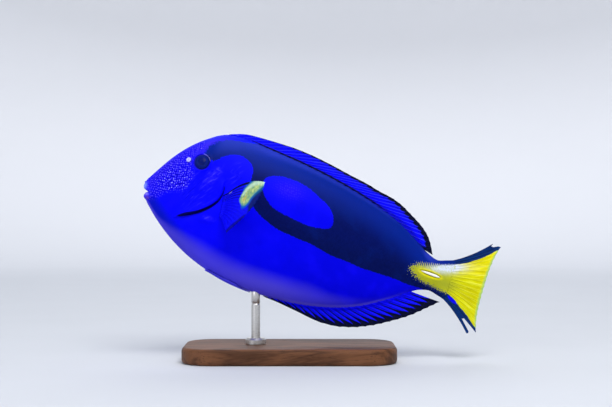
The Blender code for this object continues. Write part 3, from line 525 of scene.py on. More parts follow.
# how strong the painted sheen under the back fin is, and how far down it reaches
ROOT_SHEEN_STRENGTH = smooth(((36, 0), (42, 0.8), (60, 0.9), (75, 0.95), (85, 0.8), (100, 0.7), (125, 0.5),
                         (160, 0.3), (172, 0.1), (188, 0.1), (196, 0.8), (200, 0.5), (205, 0.05), (212, 0)))
ROOT_SHEEN_WIDTH = smooth(((35, 10), (48, 8), (58, 5), (75, 3.2), (125, 1.4), (170, 0.9), (190, 1.5), (200, 3)))

half_u, half_v = side_points[..., 0], side_points[..., 2]
below_back, above_keel = back(half_u) - half_v, half_v - belly(half_u)
violet_start = VIOLET_START(half_u)


def tail_washes_and_highlight(u, v):
    """How far the tail is fan rather than stem, where it is washed with olive, and where a painted highlight
    whitens it.
    """
    off_white = v - 6.6 - 0.28 * (u - 208)  # from the middle of the painted white highlight, which rises to the rear
    return {"fan": fade(u, 205, 225), "olive": np.exp(-(((u - 213) / 9) ** 2) - ((v + 4) / 4.5) ** 2),
            "white": np.minimum(1, 1.5 * np.exp(-(((u - 210.5) / 9.5) ** 2) - (off_white / 3.3) ** 2))}


def soft_spot(u, v, reach_u, reach_v):
    """1 in the middle of a soft round patch on the flank, and 0 far from it."""
    return np.exp(-(((half_u - u) / reach_u) ** 2) - ((half_v - v) / reach_v) ** 2)


# %% Facts for the skin's paint
lips = np.minimum(lip_gap(UPPER_LIP, half_u, side_points[..., 1], half_v),
                  lip_gap(LOWER_LIP, half_u, side_points[..., 1], half_v))
near_mouth = np.full(half_u.shape, 5.0)
near_mouth[:FAN_ROWS] = np.minimum(head_gap(*np.moveaxis(fan, -1, 0)), lips[:FAN_ROWS])
row_step, column_step = (np.linalg.norm(np.diff(side_points, axis=axis), axis=-1) for axis in (0, 1))
lengthwise = np.concatenate([np.zeros((1, SIDE_COLUMNS + 1)), np.cumsum(row_step, 0)])
lengthwise += NOSE_ROW - lengthwise[FAN_ROWS - 1]
girth = np.concatenate([np.zeros((rows, 1)), np.cumsum(column_step, 1)], 1)
girth -= girth[:, [SIDE_COLUMNS // 2]]
from_gill = signed_distance(head_outline, half_u, half_v) - smooth(GILL_SHADOW_SHIFT)(half_v)
under_fin = np.clip(below_back - 1.5, 0, None)
facts = {
    "along": half_u, "height": half_v, "lengthwise": lengthwise, "girth": girth,
    "below_back": below_back, "above_keel": above_keel,
    "violet": VIOLET_STRENGTH(half_u) * fade(above_keel, violet_start, 0.35 * violet_start),
    "black": np.minimum(signed_distance(BLACK_OUTLINE, half_u, half_v) * (0.3 + 0.7 * fade(half_u, 36, 52)),
                        -signed_distance(BLUE_OVAL, half_u, half_v)),
    "yellow": signed_distance(YELLOW_WEDGE, half_u, half_v),
    "spotted": signed_distance(SPOTTED_SNOUT, half_u, half_v),
    "gill_shadow_line": smooth(GILL_SHADOW)(half_v) - np.abs(from_gill),
    # a painted sheen in soft patches on the gill cover
    "cheek_sheen": soft_spot(46.5, -5.5, 5, 2.2) + 1.1 * soft_spot(41 + 0.4 * (half_v - 22), 22, 4, 9),
    "cheek": soft_spot(34, 10, 13, 15) + soft_spot(56, 28, 6, 10),
    "bright_area": np.clip(1.2 * soft_spot(17.5, 13.5, 12, 11) + 0.5 * soft_spot(29.5, 40, 5, 6), 0, 1),
    "oval_bloom": soft_spot(93, 27.5, 9, 5),
    "root_sheen": ROOT_SHEEN_STRENGTH(half_u) * np.exp(-((under_fin / ROOT_SHEEN_WIDTH(half_u)) ** 2)),
    # painted shade under the chin
    "chin": fade(above_keel, *CHIN_REACH[0]) * fade(half_u, *CHIN_REACH[1]),
    "speckle": 3 + 7 * fade(half_v, -1, -4) + 9 * fade(half_u, 197, 187),
    "comb": 1.5 * fade(half_v, 2.2, 4.0) * fade(half_u, 186, 190) * fade(half_u, 207, 200),
    **tail_washes_and_highlight(half_u, half_v), "lip": -lips, "in_mouth": -near_mouth, "in_sheath": in_sheath,
    # a painted highlight on the front of the upper lip
    "upper_lip_highlight": fade(half_u, 0.2, -2.4) * fade(half_v, 0.0, 1.2) * fade(half_v, 7.0, 3.0),
    "pink": soft_spot(1.9, -4.0, 1.2, 1.0),
    "lower_lip_light": fade(half_u, 3.0, 0.2) * fade(half_v, -3.4, -2.0) * fade(half_v, -0.2, -1.2),
    "by_spine": np.clip(1 - (along_spine / 1.25) ** 2 - (up_spine / 1.9) ** 2, 0, 1),
}
print("facts told to each point:", ", ".join(facts))

# %% [markdown]
# ## Skin paint
# The real surface is cast resin, airbrushed with acrylics in thin coats and sealed with satin lacquer.
# That gives the eye a deep, even blue with soft fades, a low, broad gloss and no hard highlights. The
# coats go on in order: blue ground, violet on the belly, a painted violet sheen on the brow, the spotted
# snout and the lips, the black palette, and the yellow last. Several coats are painted light and shade:
# sheen on the brow, on the gill cover and under the back fin, highlights on the upper lip and the tail's
# root, and shade under the chin, in the gill groove, inside the gape, low on the palette and in the
# spine's sheath. Tang scales are only about half a millimetre, so they are drawn a little coarser, at
# 0.9 mm.

# %% Patterns that the skin paint reads
SCALE_SIZE = 0.9  # real scales are near 0.5 mm
SPOT_SPACING = 1.7
STROKE_ANGLE = math.radians(-46)  # the cheek's colour lies in fine strokes that run up and back
skin_paint, tree, shader, told = new_paint("airbrushed_acrylic_skin", facts, Roughness=0.45, IOR=1.45,
                                           Specular_IOR_Level=0.04)
skin_map = add(tree, "ShaderNodeCombineXYZ", {"X": told["lengthwise"], "Y": told["girth"]})
soft_noise, fine_noise, specks = (
    add(tree, "ShaderNodeTexNoise", {"Vector": skin_map, "Scale": scale, "Detail": 3.0})
    for scale in (0.07, 0.55, 1.1))
scale_dome = add(tree, "ShaderNodeTexVoronoi",
                 {"Vector": skin_map, "Scale": 1 / SCALE_SIZE, "Randomness": 0.6}, "Distance",
                 voronoi_dimensions="2D")
one_scale = add(tree, "ShaderNodeSeparateColor", {0: scale_dome.node.outputs["Color"]})
wander = add(tree, "ShaderNodeTexNoise", {"Vector": skin_map, "Scale": 0.5, "Detail": 1.0}, "Color")
spot_map = add(tree, "ShaderNodeVectorMath", {0: wander, 1: (0.9, 0.9, 0), 2: skin_map},
               operation="MULTIPLY_ADD")
spots = add(tree, "ShaderNodeTexVoronoi", {"Vector": spot_map, "Scale": 1 / SPOT_SPACING, "Randomness": 0.5},
            "Distance", voronoi_dimensions="2D")
turned_map = add(tree, "ShaderNodeVectorRotate", {"Vector": skin_map, "Angle": STROKE_ANGLE},
                 rotation_type="Z_AXIS")
stroke_map = add(tree, "ShaderNodeVectorMath", {0: turned_map, 1: (0.13, 0.75, 1)}, operation="MULTIPLY")
strokes = add(tree, "ShaderNodeTexNoise",
              {"Vector": stroke_map, "Scale": 1.0, "Detail": 3.0, "Distortion": 0.4})


# %% How far each coat covers
def covers(tree, *rows, fall="SMOOTHSTEP"):
    """A cover for each (name, value, bare, full): 0 where the value is bare and 1 where it is full."""
    return {name: add(tree, "ShaderNodeMapRange", {"Value": value, "From Min": bare, "From Max": full},
                      interpolation_type=fall) for name, value, bare, full in rows}


def overlap(tree, cover, *rows):
    """Add a cover for each (name, one, other), which lies only where those two covers both do."""
    for name, one, other in rows:
        cover[name] = add(tree, "ShaderNodeMath", {0: cover[one], 1: cover[other]}, operation="MULTIPLY")


# the palette's edge wavers from scale to scale, and fine specks break up the fore end of the yellow,
# whose upper edge is a comb of stripes
COMB_SPACING = 1.3
off_scale, off_speck = (add(tree, "ShaderNodeMath", {0: pattern, 1: 0.5}, operation="SUBTRACT")
                        for pattern in (one_scale, specks))
told["black"] = add(tree, "ShaderNodeMath", {0: off_scale, 1: 0.5, 2: told["black"]},
                    operation="MULTIPLY_ADD")
speckled = add(tree, "ShaderNodeMath", {0: off_speck, 1: told["speckle"], 2: told["yellow"]},
               operation="MULTIPLY_ADD")
waves = add(tree, "ShaderNodeMath", {0: told["along"], 1: 2 * math.pi / COMB_SPACING}, operation="MULTIPLY")
stripes = add(tree, "ShaderNodeMath", {0: waves}, operation="SINE")
told["yellow"] = add(tree, "ShaderNodeMath", {0: stripes, 1: told["comb"], 2: speckled},
                     operation="MULTIPLY_ADD")

# %% Covers of the skin's coats
COATS = {  # name: (fact, where the coat is bare, where it is full)
    "rear": ("along", 50, 150), "brow_sheen_reach": ("below_back", 17, 1), "front": ("along", 60, 26),
    "back_sheen": ("below_back", 4.5, 1.5), "keel_line": ("above_keel", 3.2, 1.2),
    "keel_reach": ("along", 104, 118), "keel_end": ("along", 194, 160), "black": ("black", -0.3, 0.35),
    "gill": ("gill_shadow_line", -0.3, 0.35), "spotted": ("spotted", -0.6, 4.2), "lip": ("lip", -0.6, 0.1),
    "mouth": ("in_mouth", 0.2, 0.9), "palette_top_light": ("below_back", 25, 4),
    "palette_low_shade": ("height", 10, -4), "cheek_sheen": ("cheek_sheen", 0.1, 1.1), "yellow": ("yellow", -0.9, 0.8),
    "near_cheek": ("cheek", 0.15, 0.9), "by_spine": ("by_spine", 0.0, 0.7),
    "sheath": ("in_sheath", 0.1, 0.6),
}
cover = covers(tree, *[(name, told[fact], bare, full) for name, (fact, bare, full) in COATS.items()])
cover |= covers(tree, ("spot", spots, 0.28, 0.14), ("gap", spots, 0.44, 0.58),
                ("bright_spot", fine_noise, 0.5, 0.66), ("blotch", soft_noise, 0.48, 0.7),
                ("deep_blotch", soft_noise, 0.5, 0.3), ("blotch_fine", fine_noise, 0.3, 0.62),
                ("light_stroke", strokes, 0.52, 0.7), ("deep_stroke", strokes, 0.47, 0.34))
cover |= {name: told[name] for name in (
    "violet", "chin", "bright_area", "oval_bloom", "root_sheen", "pink", "fan", "olive", "white",
    "upper_lip_highlight", "lower_lip_light")}
cover["scale"] = one_scale
# the brow coat is a painted violet sheen on the top of the head, where light from above falls
overlap(tree, cover, ("brow", "brow_sheen_reach", "front"), ("keel_start", "keel_line", "keel_reach"),
        ("keel", "keel_start", "keel_end"), ("spots", "spotted", "spot"),
        ("lit_spots", "spots", "bright_spot"), ("bright_spots", "lit_spots", "bright_area"),
        ("spot_area", "spotted", "bright_area"), ("gaps", "spot_area", "gap"),
        # the white at the tail's root is a painted highlight, broken into clouds
        ("highlight_clouds", "white", "blotch_fine"), ("light_strokes", "near_cheek", "light_stroke"),
        ("deep_strokes", "near_cheek", "deep_stroke"), ("cheek_sheen_strokes", "cheek_sheen", "light_stroke"),
        ("cheek_sheen_haze", "cheek_sheen", "blotch_fine"), ("oval_specks", "oval_bloom", "spot"))
print("coats:", len(cover))


# %% Lay the coats on
def coats(tree, ground, cover, *layers):
    """The colour after these layers, each (cover, colour, strength), have gone over the ground."""
    colour = ground
    for name, over, strength in layers:
        amount = add(tree, "ShaderNodeMath", {0: cover[name], 1: strength}, operation="MULTIPLY")
        over = over if isinstance(over, bpy.types.NodeSocket) else linear(over)
        colour = add(tree, "ShaderNodeMix", {0: amount, 6: colour, 7: over}, 2, data_type="RGBA")
    return colour


def seal(tree, shader, colour=None, height=None, strength=0.3, depth=0.1, invert=False):
    """Give the shader its colour, and a fine relief of this height, depth millimetres deep."""
    if colour is not None:
        tree.links.new(colour, shader.inputs["Base Color"])
    if height is not None:
        bump = add(tree, "ShaderNodeBump", {"Strength": strength, "Distance": depth * MM, "Height": height},
                   invert=invert)
        tree.links.new(bump, shader.inputs["Normal"])


STEM_YELLOW = "A8AA1A"
TAIL_WASHES_AND_HIGHLIGHT = (("fan", "CCCC00", 1.0), ("olive", "969C28", 0.85), ("white", "C0CCAC", 0.85),
               ("highlight_clouds", "D2D8F2", 0.92))  # the tail fin has them too; the white is a painted highlight
# the palette is painted darker low down and lighter towards the back: painted shade, and painted light from
# above
palette = coats(tree, linear("000848"), cover, ("palette_low_shade", "000632", 0.7),
                ("palette_top_light", "00228E", 0.9), ("rear", "001058", 0.25), ("scale", "06186C", 0.2),
                # a painted sheen in a strip under the back fin
                ("blotch", "002078", 0.2), ("root_sheen", "2A3AB2", 0.75), ("fan", "06285E", 1.0))
stem = coats(tree, linear(STEM_YELLOW), cover, ("scale", "8C9018", 0.4), *TAIL_WASHES_AND_HIGHLIGHT,
             # the sheath is painted a darker olive: painted shade in the recess round the spine
             ("by_spine", "DCD60C", 0.8), ("sheath", "A89C10", 0.6))
colour = coats(tree, linear("0000E8"), cover, ("rear", "0000D2", 1.0), ("blotch", "0A04EC", 0.4),
               ("deep_blotch", "0000CC", 0.35), ("light_strokes", "2C26FF", 0.55),
               # the lighter violet patches on the cheek are a painted sheen
               ("deep_strokes", "0000B8", 0.6), ("cheek_sheen_haze", "2018FF", 0.7), ("cheek_sheen_strokes", "4A40FF", 0.5),
               # the chin coat is painted shade under the chin
               ("chin", "0212AC", 0.8), ("violet", "5046D6", 0.9), ("brow", "4030C4", 0.8),
               # a painted sheen along the back, under the back fin
               ("back_sheen", "1424E8", 0.6), ("keel", "6458E0", 0.6), ("oval_bloom", "1E08E4", 0.7),
               ("oval_specks", "4034FF", 0.5), ("spotted", "0C04D0", 0.8), ("gaps", "000090", 0.6),
               ("spots", "5848FC", 0.85), ("bright_spots", "C0B8FF", 0.9), ("lip", "3C34F0", 0.5),
               # a painted highlight on the upper lip
               ("upper_lip_highlight", "8098F4", 0.85), ("lower_lip_light", "9488EC", 0.6),
               # a painted shadow in the groove along the gill cover's edge
               ("pink", "8C5084", 0.4), ("black", palette, 1.0), ("gill", "00003C", 0.97),
               # the inside of the gape is painted near black: painted shade in the recess
               ("mouth", "0C0628", 1.0), ("yellow", stem, 1.0))

# %% [markdown]
# The grain of the scales is a bump only, because a scale is hardly larger than the gap between two points
# of the mesh. The lacquer has the same gloss all over.

# %% Make the skin
grain = add(tree, "ShaderNodeMath", {0: scale_dome, 1: -0.5}, operation="MULTIPLY")
seal(tree, shader, colour, grain, strength=0.25, depth=0.2)
new_piece("skin", skin_points, skin_faces, skin_paint, ("head", "torso", "tail_stem"),
          {name: mirrored(values) for name, values in facts.items()})

# %% [markdown]
# ## Fins
# A tang's fin is a sheet thinner than card, stretched over bony rays. The rays of the soft part fork
# towards the edge. Each fin is one closed mesh: a middle surface, two faces that stand off it, and a rim
# round them. The faces rise over each ray and its forks, so the ridges are real and catch the light, and
# the edge dips between rays. A solidified plane with a bump would look the same only from straight ahead.

# %% A cast fin
MEMBRANE = 0.34  # the solids keep 0.5
RAY_RISE, RAY_TIP_RISE = 0.58, 0.1  # how far a ray stands up: this much more at its root than at its tip
ROOT_FLESH, FLESH_REACH = 1.1, 1.3  # how thick the fleshy root is on each side, and how soon it thins out
# where the columns between two rays lie
BETWEEN_RAYS = (0, 0.05, 0.1, 0.15, 0.2, 0.27, 0.38, 0.5, 0.62, 0.73, 0.8, 0.85, 0.9, 0.95)


def ray_rise(t):
    """How far a ray stands over the membrane, share t of the way out."""
    return RAY_RISE * (1 - t) ** 0.7 + RAY_TIP_RISE


def ray_ridge(s, t, spines, slim):
    """How much of a ray stands at column s, share t of the way out; it forks unless it is a spine."""
    away, forked = np.abs(s - np.round(s)), np.where(np.round(s) >= spines, 0.19, 0.0)
    spread = forked * fade(t, 0.35, 1.05)
    return np.exp(-(((away - spread) / slim) ** 2)) * (1 - 0.35 * fade(t, 0.3, 1.0))


def fin(name, place, rays, row_count, paint, tell, spines=0, dip=0.06, sink=0.2, slim=0.075,
        flesh=ROOT_FLESH, rise=ray_rise, splits=None):
    """A fin from place(s, t), its middle surface at ray s and share t of the way out. sink is how far its
    root goes into the body, rise how far rays stand up, splits gives deeper cuts in the margin after some
    rays, and tell adds facts."""
    columns = np.array([k + x for k in range(rays - 1) for x in BETWEEN_RAYS] + [rays - 1])
    deep = np.full(rays, dip)
    for ray, depth in (splits or {}).items():
        deep[ray] = depth
    after, part = np.minimum(columns.astype(int), rays - 2), columns % 1
    split = np.isin(after, list(splits or {}))
    slit = fade(part, 0.36, 0.46) * fade(part, 0.84, 0.74)
    notch = deep[after] * np.where(split, slit, np.sin(np.pi * part) ** 0.8)
    s = np.repeat(columns[:, None], row_count, 1)
    t = -sink + (1 - notch[:, None] + sink) * (1 - (1 - np.linspace(0, 1, row_count)) ** 1.15)
    middle = place(s, t)
    steps = np.linalg.norm(np.diff(middle, axis=1), axis=-1)
    from_start = np.concatenate([np.zeros((len(columns), 1)), np.cumsum(steps, 1)], 1)
    root = np.array([np.interp(0.0, t[i], from_start[i]) for i in range(len(columns))])[:, None]
    here = {"ray": s, "share": t, "out": from_start - root, "to_margin": from_start[:, -1:] - from_start,
            "across": s / (rays - 1), "along": middle[..., 0], "height": middle[..., 2],
            "between": 1 - 2 * np.abs(s % 1 - 0.5), "ridge": ray_ridge(s, np.clip(t, 0, 1), spines, slim)}
    outwards, sideways = (np.gradient(middle, axis=axis) for axis in (1, 0))
    lengths = np.linalg.norm(outwards, axis=-1) * np.linalg.norm(sideways, axis=-1) + 1e-9
    crossing = np.linalg.norm(np.cross(outwards, sideways), axis=-1)
    here["steep"] = crossing / lengths  # 1 where rays stand square
    normal = np.cross(outwards, np.gradient(middle, columns, axis=0))
    normal /= np.linalg.norm(normal, axis=-1, keepdims=True) + 1e-9
    half = MEMBRANE / 2 + here["ridge"] * rise(np.clip(t, 0, 1))
    half += flesh * np.exp(-((np.clip(here["out"], 0, None) / FLESH_REACH) ** 2))
    half = (half * (0.35 + 0.65 * fade(here["to_margin"], 0, 0.5)))[..., None]  # the rim is thinner
    points = np.concatenate([middle + normal * half, middle - normal * half])
    wide, other, faces = len(columns), s.size, []  # other leads from a point to the one on the other face
    for i in range(wide - 1):
        for j in range(row_count - 1):
            a, b = i * row_count + j, (i + 1) * row_count + j
            faces += [(a, b, b + 1, a + 1), (a + other, a + other + 1, b + other + 1, b + other)]
    rim = [i * row_count for i in range(wide)] + [(wide - 1) * row_count + j for j in range(1, row_count)]
    rim += [i * row_count + row_count - 1 for i in range(wide - 2, -1, -1)]
    rim += list(range(row_count - 2, 0, -1))
    faces += [(a, a + other, b + other, b) for a, b in zip(rim, rim[1:] + rim[:1])]
    here.update(tell(here))
    twice = {fact: np.concatenate([values, values]) for fact, values in here.items()}
    return new_piece("cast_" + name, points, faces, paint, (name,), twice)


# %% [markdown]
# ## Blue fin paint
# All the fins are cast in resin and airbrushed. What each point is told about its place on the fin
# decides the coat. The back and belly fins are bright blue with a black edge that runs in as a dark
# streak between each pair of rays, and the back fin has a thin black line along its root. The crests of
# the rays carry a painted highlight, a little lighter, which lets the eye follow each ray, and painted
# shade lies in the folds between rays and along the back fin's root.

# %% Blue fin paint
FIN_COATS = {  # name: (where the coat is bare, where it is full, colour, strength), in the order they go on
    # ridge and light line: painted highlights on the crests of the rays
    "ridge": (0.1, 0.9, "1418FF", 0.4), "light_line": (0.35, 0.85, "484CFF", 0.6),
    # the next two are painted shade: in the folds between rays, and along a root or a trailing edge
    "crease": (-0.1, 0.25, "000078", 0.6), "dim": (-1.0, 1.5, "000060", 0.75),
    "keel": (0, 1, "4A42D4", 0.85), "clear_rim": (-1.5, 1.5, "001648", 0.9),
    "halo": (-2.2, 0.0, "146C96", 0.8), "patch": (-0.35, 0.5, "6CA08C", 1.0),
    "patch_inside": (0.2, 1.6, "98B870", 0.9), "warm": (-1.0, 1.0, "C4AE48", 0.7),
    # pale: a painted highlight on the breast fin's leading ray
    "streak": (-0.9, 0.7, "C0E0C4", 0.8), "pale": (-0.4, 0.4, "A09CF0", 0.7),
    "dark": (-0.3, 0.35, "000424", 1.0)}
fin_facts = [name for name in FIN_COATS if name != "patch_inside"]
fin_paint, tree, shader, told = new_paint("airbrushed_cast_fin", fin_facts, Roughness=0.45, IOR=1.5,
                                          Specular_IOR_Level=0.06)
told["patch_inside"] = told["patch"]
cover = covers(tree, *[(name, told[name], bare, full) for name, (bare, full, _, _) in FIN_COATS.items()])
places = add(tree, "ShaderNodeTexCoord", output="Object")
mottle = add(tree, "ShaderNodeTexNoise", {"Vector": places, "Scale": 420.0, "Detail": 3.0})
cover["mottle"] = mottle
cover |= covers(tree, ("light_cloud", mottle, 0.5, 0.66), ("dark_cloud", mottle, 0.48, 0.36))
overlap(tree, cover, ("flecks", "patch_inside", "light_cloud"), ("shade", "patch", "dark_cloud"))
layers = [(name, over, strength) for name, (_, _, over, strength) in FIN_COATS.items()]
after_patch = list(FIN_COATS).index("patch_inside") + 1
layers[after_patch:after_patch] = [("shade", "4C8C84", 0.6), ("flecks", "D0D888", 0.8)]  # the patch is cloudy
seal(tree, shader, coats(tree, linear("0000CC"), cover, ("mottle", "0402F8", 1.0), *layers), mottle)
UNPAINTED = {name: -9.0 for name in fin_facts if name != "ridge"}


def painted(here, **facts):
    """The facts for a fin's coats: the given ones, and none of the others."""
    shape = here["share"].shape
    return {name: np.full(shape, bare) for name, bare in UNPAINTED.items()} | facts


# %% [markdown]
# ## Back and belly fins
# Their rays run from the edge of the body, leaning back, to the fin's margin. The back fin starts with
# nine stiff spines and the belly fin with three. The rest are soft rays, which fork.

# %% Back and belly fins
DORSAL_ROOTS, DORSAL_SPINES, DORSAL_SOFT_RAYS = (43.5, 193.4), 9, 20
DORSAL_MARGIN = ((47.5, 54.2), (50, 55.0), (54, 55.9), (58, 56.3), (70, 56.5), (85, 56.3), (99, 55.1),
                 (114, 52.6), (129, 49.4), (144, 46.4), (152, 44.2), (160, 42.6), (168, 40.0), (176, 35.7),
                 (181, 32.8), (185, 30.3), (189, 27.2), (192.4, 23.8), (195.2, 19.7), (197, 16.2),
                 (198.6, 12.8))
DORSAL_LEAN = ((0, 4.0), (0.12, 13), (0.35, 24), (0.6, 28), (0.8, 22), (0.92, 13), (1, 5.2))
ANAL_ROOTS, ANAL_SPINES, ANAL_SOFT_RAYS = (96, 192), 3, 19
ANAL_MARGIN = ((98, -46.9), (106, -47.7), (115, -49.1), (123, -50.4), (131, -51.9), (139, -52.8),
               (147, -52.6), (158, -50.5), (171, -45.7), (184, -38.6), (196, -30.8), (205, -23.1),
               (212.4, -16.6))
ANAL_LEAN = ((0, 2), (0.2, 12), (0.5, 22), (0.8, 24), (1, 20.4))
SWEEP = 0.18  # how much a ray bends on its way out


def edge_rays(roots, rays, edge, margin, lean, gap):
    """place(s, t) for a fin on the midline of the body."""
    outer, leaning = smooth(margin), smooth(lean)

    def place(s, t):
        share = np.clip(s / (rays - 1), 0, 1)
        u_root = roots[0] + (roots[1] - roots[0]) * share
        u_tip, v_root = u_root + leaning(share), edge(u_root) + gap
        sweep = t * (1 - t) * SWEEP * (u_tip - u_root)
        v = v_root + (outer(u_tip) - v_root) * t
        return np.stack([u_root + (u_tip - u_root) * t - sweep, 0 * t, v], -1)

    return place


# the black of the margin and of each streak, in millimetres inwards from the edge
DORSAL_BLACK = smooth(((45, 0), (75, 0.2), (95, 0.6), (125, 1.1), (145, 1.5), (160, 1.9), (175, 2.4),
                       (186, 2.6), (199, 2.8)))
DORSAL_STREAK = smooth(((45, 0), (90, 0.8), (130, 0.9), (170, 0.7), (198, 0.4)))
DORSAL_ROOT_LINE = smooth(((52, -0.4), (62, 0.35), (75, 0.55), (130, 0.6), (150, 0.5), (163, 0), (170, -0.3),
                           (200, -0.3)))
DORSAL_ROOT_SHADE = smooth(((45, -2), (62, -0.8), (80, 0.2), (130, 0.4), (160, 1.3), (180, 2.0), (190, 1.4),
                            (199, 0.6)))
ANAL_BLACK = smooth(((96, 0.8), (110, 1.8), (125, 2.6), (140, 2.9), (165, 2.9), (185, 3.0), (200, 3.8),
                     (212, 5)))
ANAL_STREAK = smooth(((96, 2), (115, 6), (150, 9), (185, 9), (212, 6)))


def edge_and_streaks(black, streak, thin, wedge, root_line=None, root_shade=None):
    """Facts for a black margin that runs in between the rays. thin is half the width of a streak, and
    wedge how much of the streak is as wide as the gap between two rays."""
    def tell(here):
        inwards = here["to_margin"] * here["steep"] - black(here["along"])
        off_middle = (1 - here["between"]) / 2  # 0 halfway between two rays, 0.5 on a ray
        tooth = streak(here["along"]) * wedge * np.clip(1 - off_middle / 0.5, 0, 1) ** 1.7 - inwards
        line = np.minimum((thin - off_middle) * 4, (streak(here["along"]) - inwards) * 0.3)
        dark = np.maximum(-inwards, np.maximum(tooth, line) if thin else tooth)
        # painted shade in the folds between rays, towards the margin
        more = {"crease": (0.16 - off_middle) * 2 - 1.5 * fade(here["share"], 0.7, 0.3)}
        if root_line:
            dark = np.maximum(dark, root_line(here["along"]) - np.abs(here["out"]) * here["steep"])
            # painted shade along the back fin's root
            more["dim"] = np.minimum(root_shade(here["along"]) - here["out"] * here["steep"], 0.5)
            # painted glints along the rays of the back fin
            more["light_line"] = here["ridge"]
        return painted(here, dark=dark, **more)
    return tell


dorsal_rays, anal_rays = DORSAL_SPINES + DORSAL_SOFT_RAYS, ANAL_SPINES + ANAL_SOFT_RAYS
fin("dorsal_fin", edge_rays(DORSAL_ROOTS, dorsal_rays, back, DORSAL_MARGIN, DORSAL_LEAN, gap=0.3),
    dorsal_rays, 24, fin_paint,
    edge_and_streaks(DORSAL_BLACK, DORSAL_STREAK, 0, 0.6, DORSAL_ROOT_LINE, DORSAL_ROOT_SHADE),
    DORSAL_SPINES, dip=0.015)
fin("anal_fin", edge_rays(ANAL_ROOTS, anal_rays, belly, ANAL_MARGIN, ANAL_LEAN, gap=-0.3), anal_rays, 30,
    fin_paint, edge_and_streaks(ANAL_BLACK, ANAL_STREAK, 0.12, 0.75), ANAL_SPINES, dip=0.025)

# %% [markdown]
# ## Breast and belly-side fins
# A breast fin fans out from the shoulder towards the viewer. Each ray bends in one curve from its root,
# so a curve with one bend point places it. The belly-side fins are folded flat against the keel.

# %% Breast fins
PECTORAL_RAYS = 15
PECTORAL_LEADING = ((63.1, 19.0, 27.2), (77.2, 38.0, 27.9))
PECTORAL_TRAILING = ((58.5, 8.0, -6.5), (61.5, 15.0, -10.8))
PECTORAL_BOW = (3.6, 6.5, -1.0)
PECTORAL_PATCH = closed_curve(((-0.03, 1.02), (-0.04, 0.9), (-0.03, 0.78), (0.02, 0.68), (0.09, 0.6),
                               (0.18, 0.55), (0.29, 0.53), (0.39, 0.55), (0.46, 0.65), (0.48, 0.73),
                               (0.46, 0.8), (0.39, 0.83), (0.32, 0.83), (0.25, 0.85), (0.18, 0.89),
                               (0.11, 0.94), (0.06, 0.98)))
PECTORAL_STREAK = ((0.25, 0.59), (0.17, 0.61), (0.1, 0.67), (0.04, 0.78), (0.01, 0.89), (0.0, 1.0))
PECTORAL_WARM = (0.34, 0.68)
PATCH_SCALE = np.array((24.0, 34.0))  # of the fin across and out, to tell the patch in millimetres


def pectoral_place(side):
    """place(s, t) for the breast fin of one side: -1 left, 1 right."""
    shoulder = float(flank(*PECTORAL_ROOTS[0]))

    def off_flank(point):
        return np.array((point[0], side * (shoulder + point[1]), point[2]))

    def place(s, t):
        share = np.clip(s / (PECTORAL_RAYS - 1), 0, 1)[..., None]
        (u_a, v_a), (u_b, v_b) = PECTORAL_ROOTS
        u, v = u_a + (u_b - u_a) * share[..., 0], v_a + (v_b - v_a) * share[..., 0]
        start = np.stack([u, side * (flank(u, v) + 0.3), v], -1)
        bend = off_flank(PECTORAL_LEADING[0]) * (1 - share) + off_flank(PECTORAL_TRAILING[0]) * share
        end = off_flank(PECTORAL_LEADING[1]) * (1 - share) + off_flank(PECTORAL_TRAILING[1]) * share
        bow_u, bow_out, bow_v = PECTORAL_BOW
        end = end + np.array((bow_u, side * bow_out, bow_v)) * np.sin(np.pi * share**0.8)
        t = t[..., None]
        return start * (1 - t) ** 2 + bend * 2 * t * (1 - t) + end * t * t

    return place


def tell_pectoral(here):
    """Dark leading edge and ray lines, a painted highlight on the leading ray, yellow patch, a clear rim
    outside it, and painted shade along the trailing edge.
    """
    share, across = here["share"], here["across"]
    u, v = across * PATCH_SCALE[0], share * PATCH_SCALE[1]
    patch = signed_distance(PECTORAL_PATCH * PATCH_SCALE, u, v)
    leading = (0.045 - across) * PATCH_SCALE[0] - 4 * fade(share, 0.6, 0.7)
    lines = 2.4 * (0.13 - (1 - here["between"]) / 2)  # on the rays, near the root and in front
    lines -= 0.8 * fade(share, 0.5, 0.58) + 0.8 * fade(across, 0.25, 0.5)
    rim = (share - 0.86) * PATCH_SCALE[1] - 5 * fade(across, 0.4, 0.58)
    # painted shade along the breast fin's trailing edge
    dim = (share - 0.93 + 0.08 * fade(across, 0.6, 0.95)) * PATCH_SCALE[1] - 5 * fade(across, 0.65, 0.5)
    # a painted highlight along the leading ray, near its root
    pale = (0.02 - np.abs(across - 0.07)) * PATCH_SCALE[0] - 2 * fade(np.abs(share - 0.14), 0.03, 0.09)
    path = rounded_path(PECTORAL_STREAK, 16) * PATCH_SCALE
    streak = 0.9 - np.sqrt(np.min([(u - a) ** 2 + (v - b) ** 2 for a, b in path], 0))
    warm = 1.3 - np.hypot(u - PECTORAL_WARM[0] * PATCH_SCALE[0], v - PECTORAL_WARM[1] * PATCH_SCALE[1])
    halo = patch - 4 * fade(v - 0.75 * u, 16, 12)
    return painted(here, dark=np.maximum(leading, lines), patch=patch, clear_rim=rim, dim=dim, pale=pale,
                   halo=halo, streak=np.minimum(streak, patch), warm=np.minimum(warm, patch - 0.8))


SIDES = ((-1, "left"), (1, "right"))
for side, name in SIDES:
    fin("pectoral_fin_" + name, pectoral_place(side), PECTORAL_RAYS, 40, fin_paint,
        tell_pectoral, 1, dip=0.015, sink=0.04, slim=0.09, rise=lambda t: 0.36 * ray_rise(t))

# %% Belly-side fins
PELVIC_ROOT, PELVIC_TIP, PELVIC_RAYS, PELVIC_SPREAD = (54, 0.12), (86.5, 0.11), 4, 0.10
PELVIC_THICKNESS, PELVIC_LIFT = 1.0, 0.5


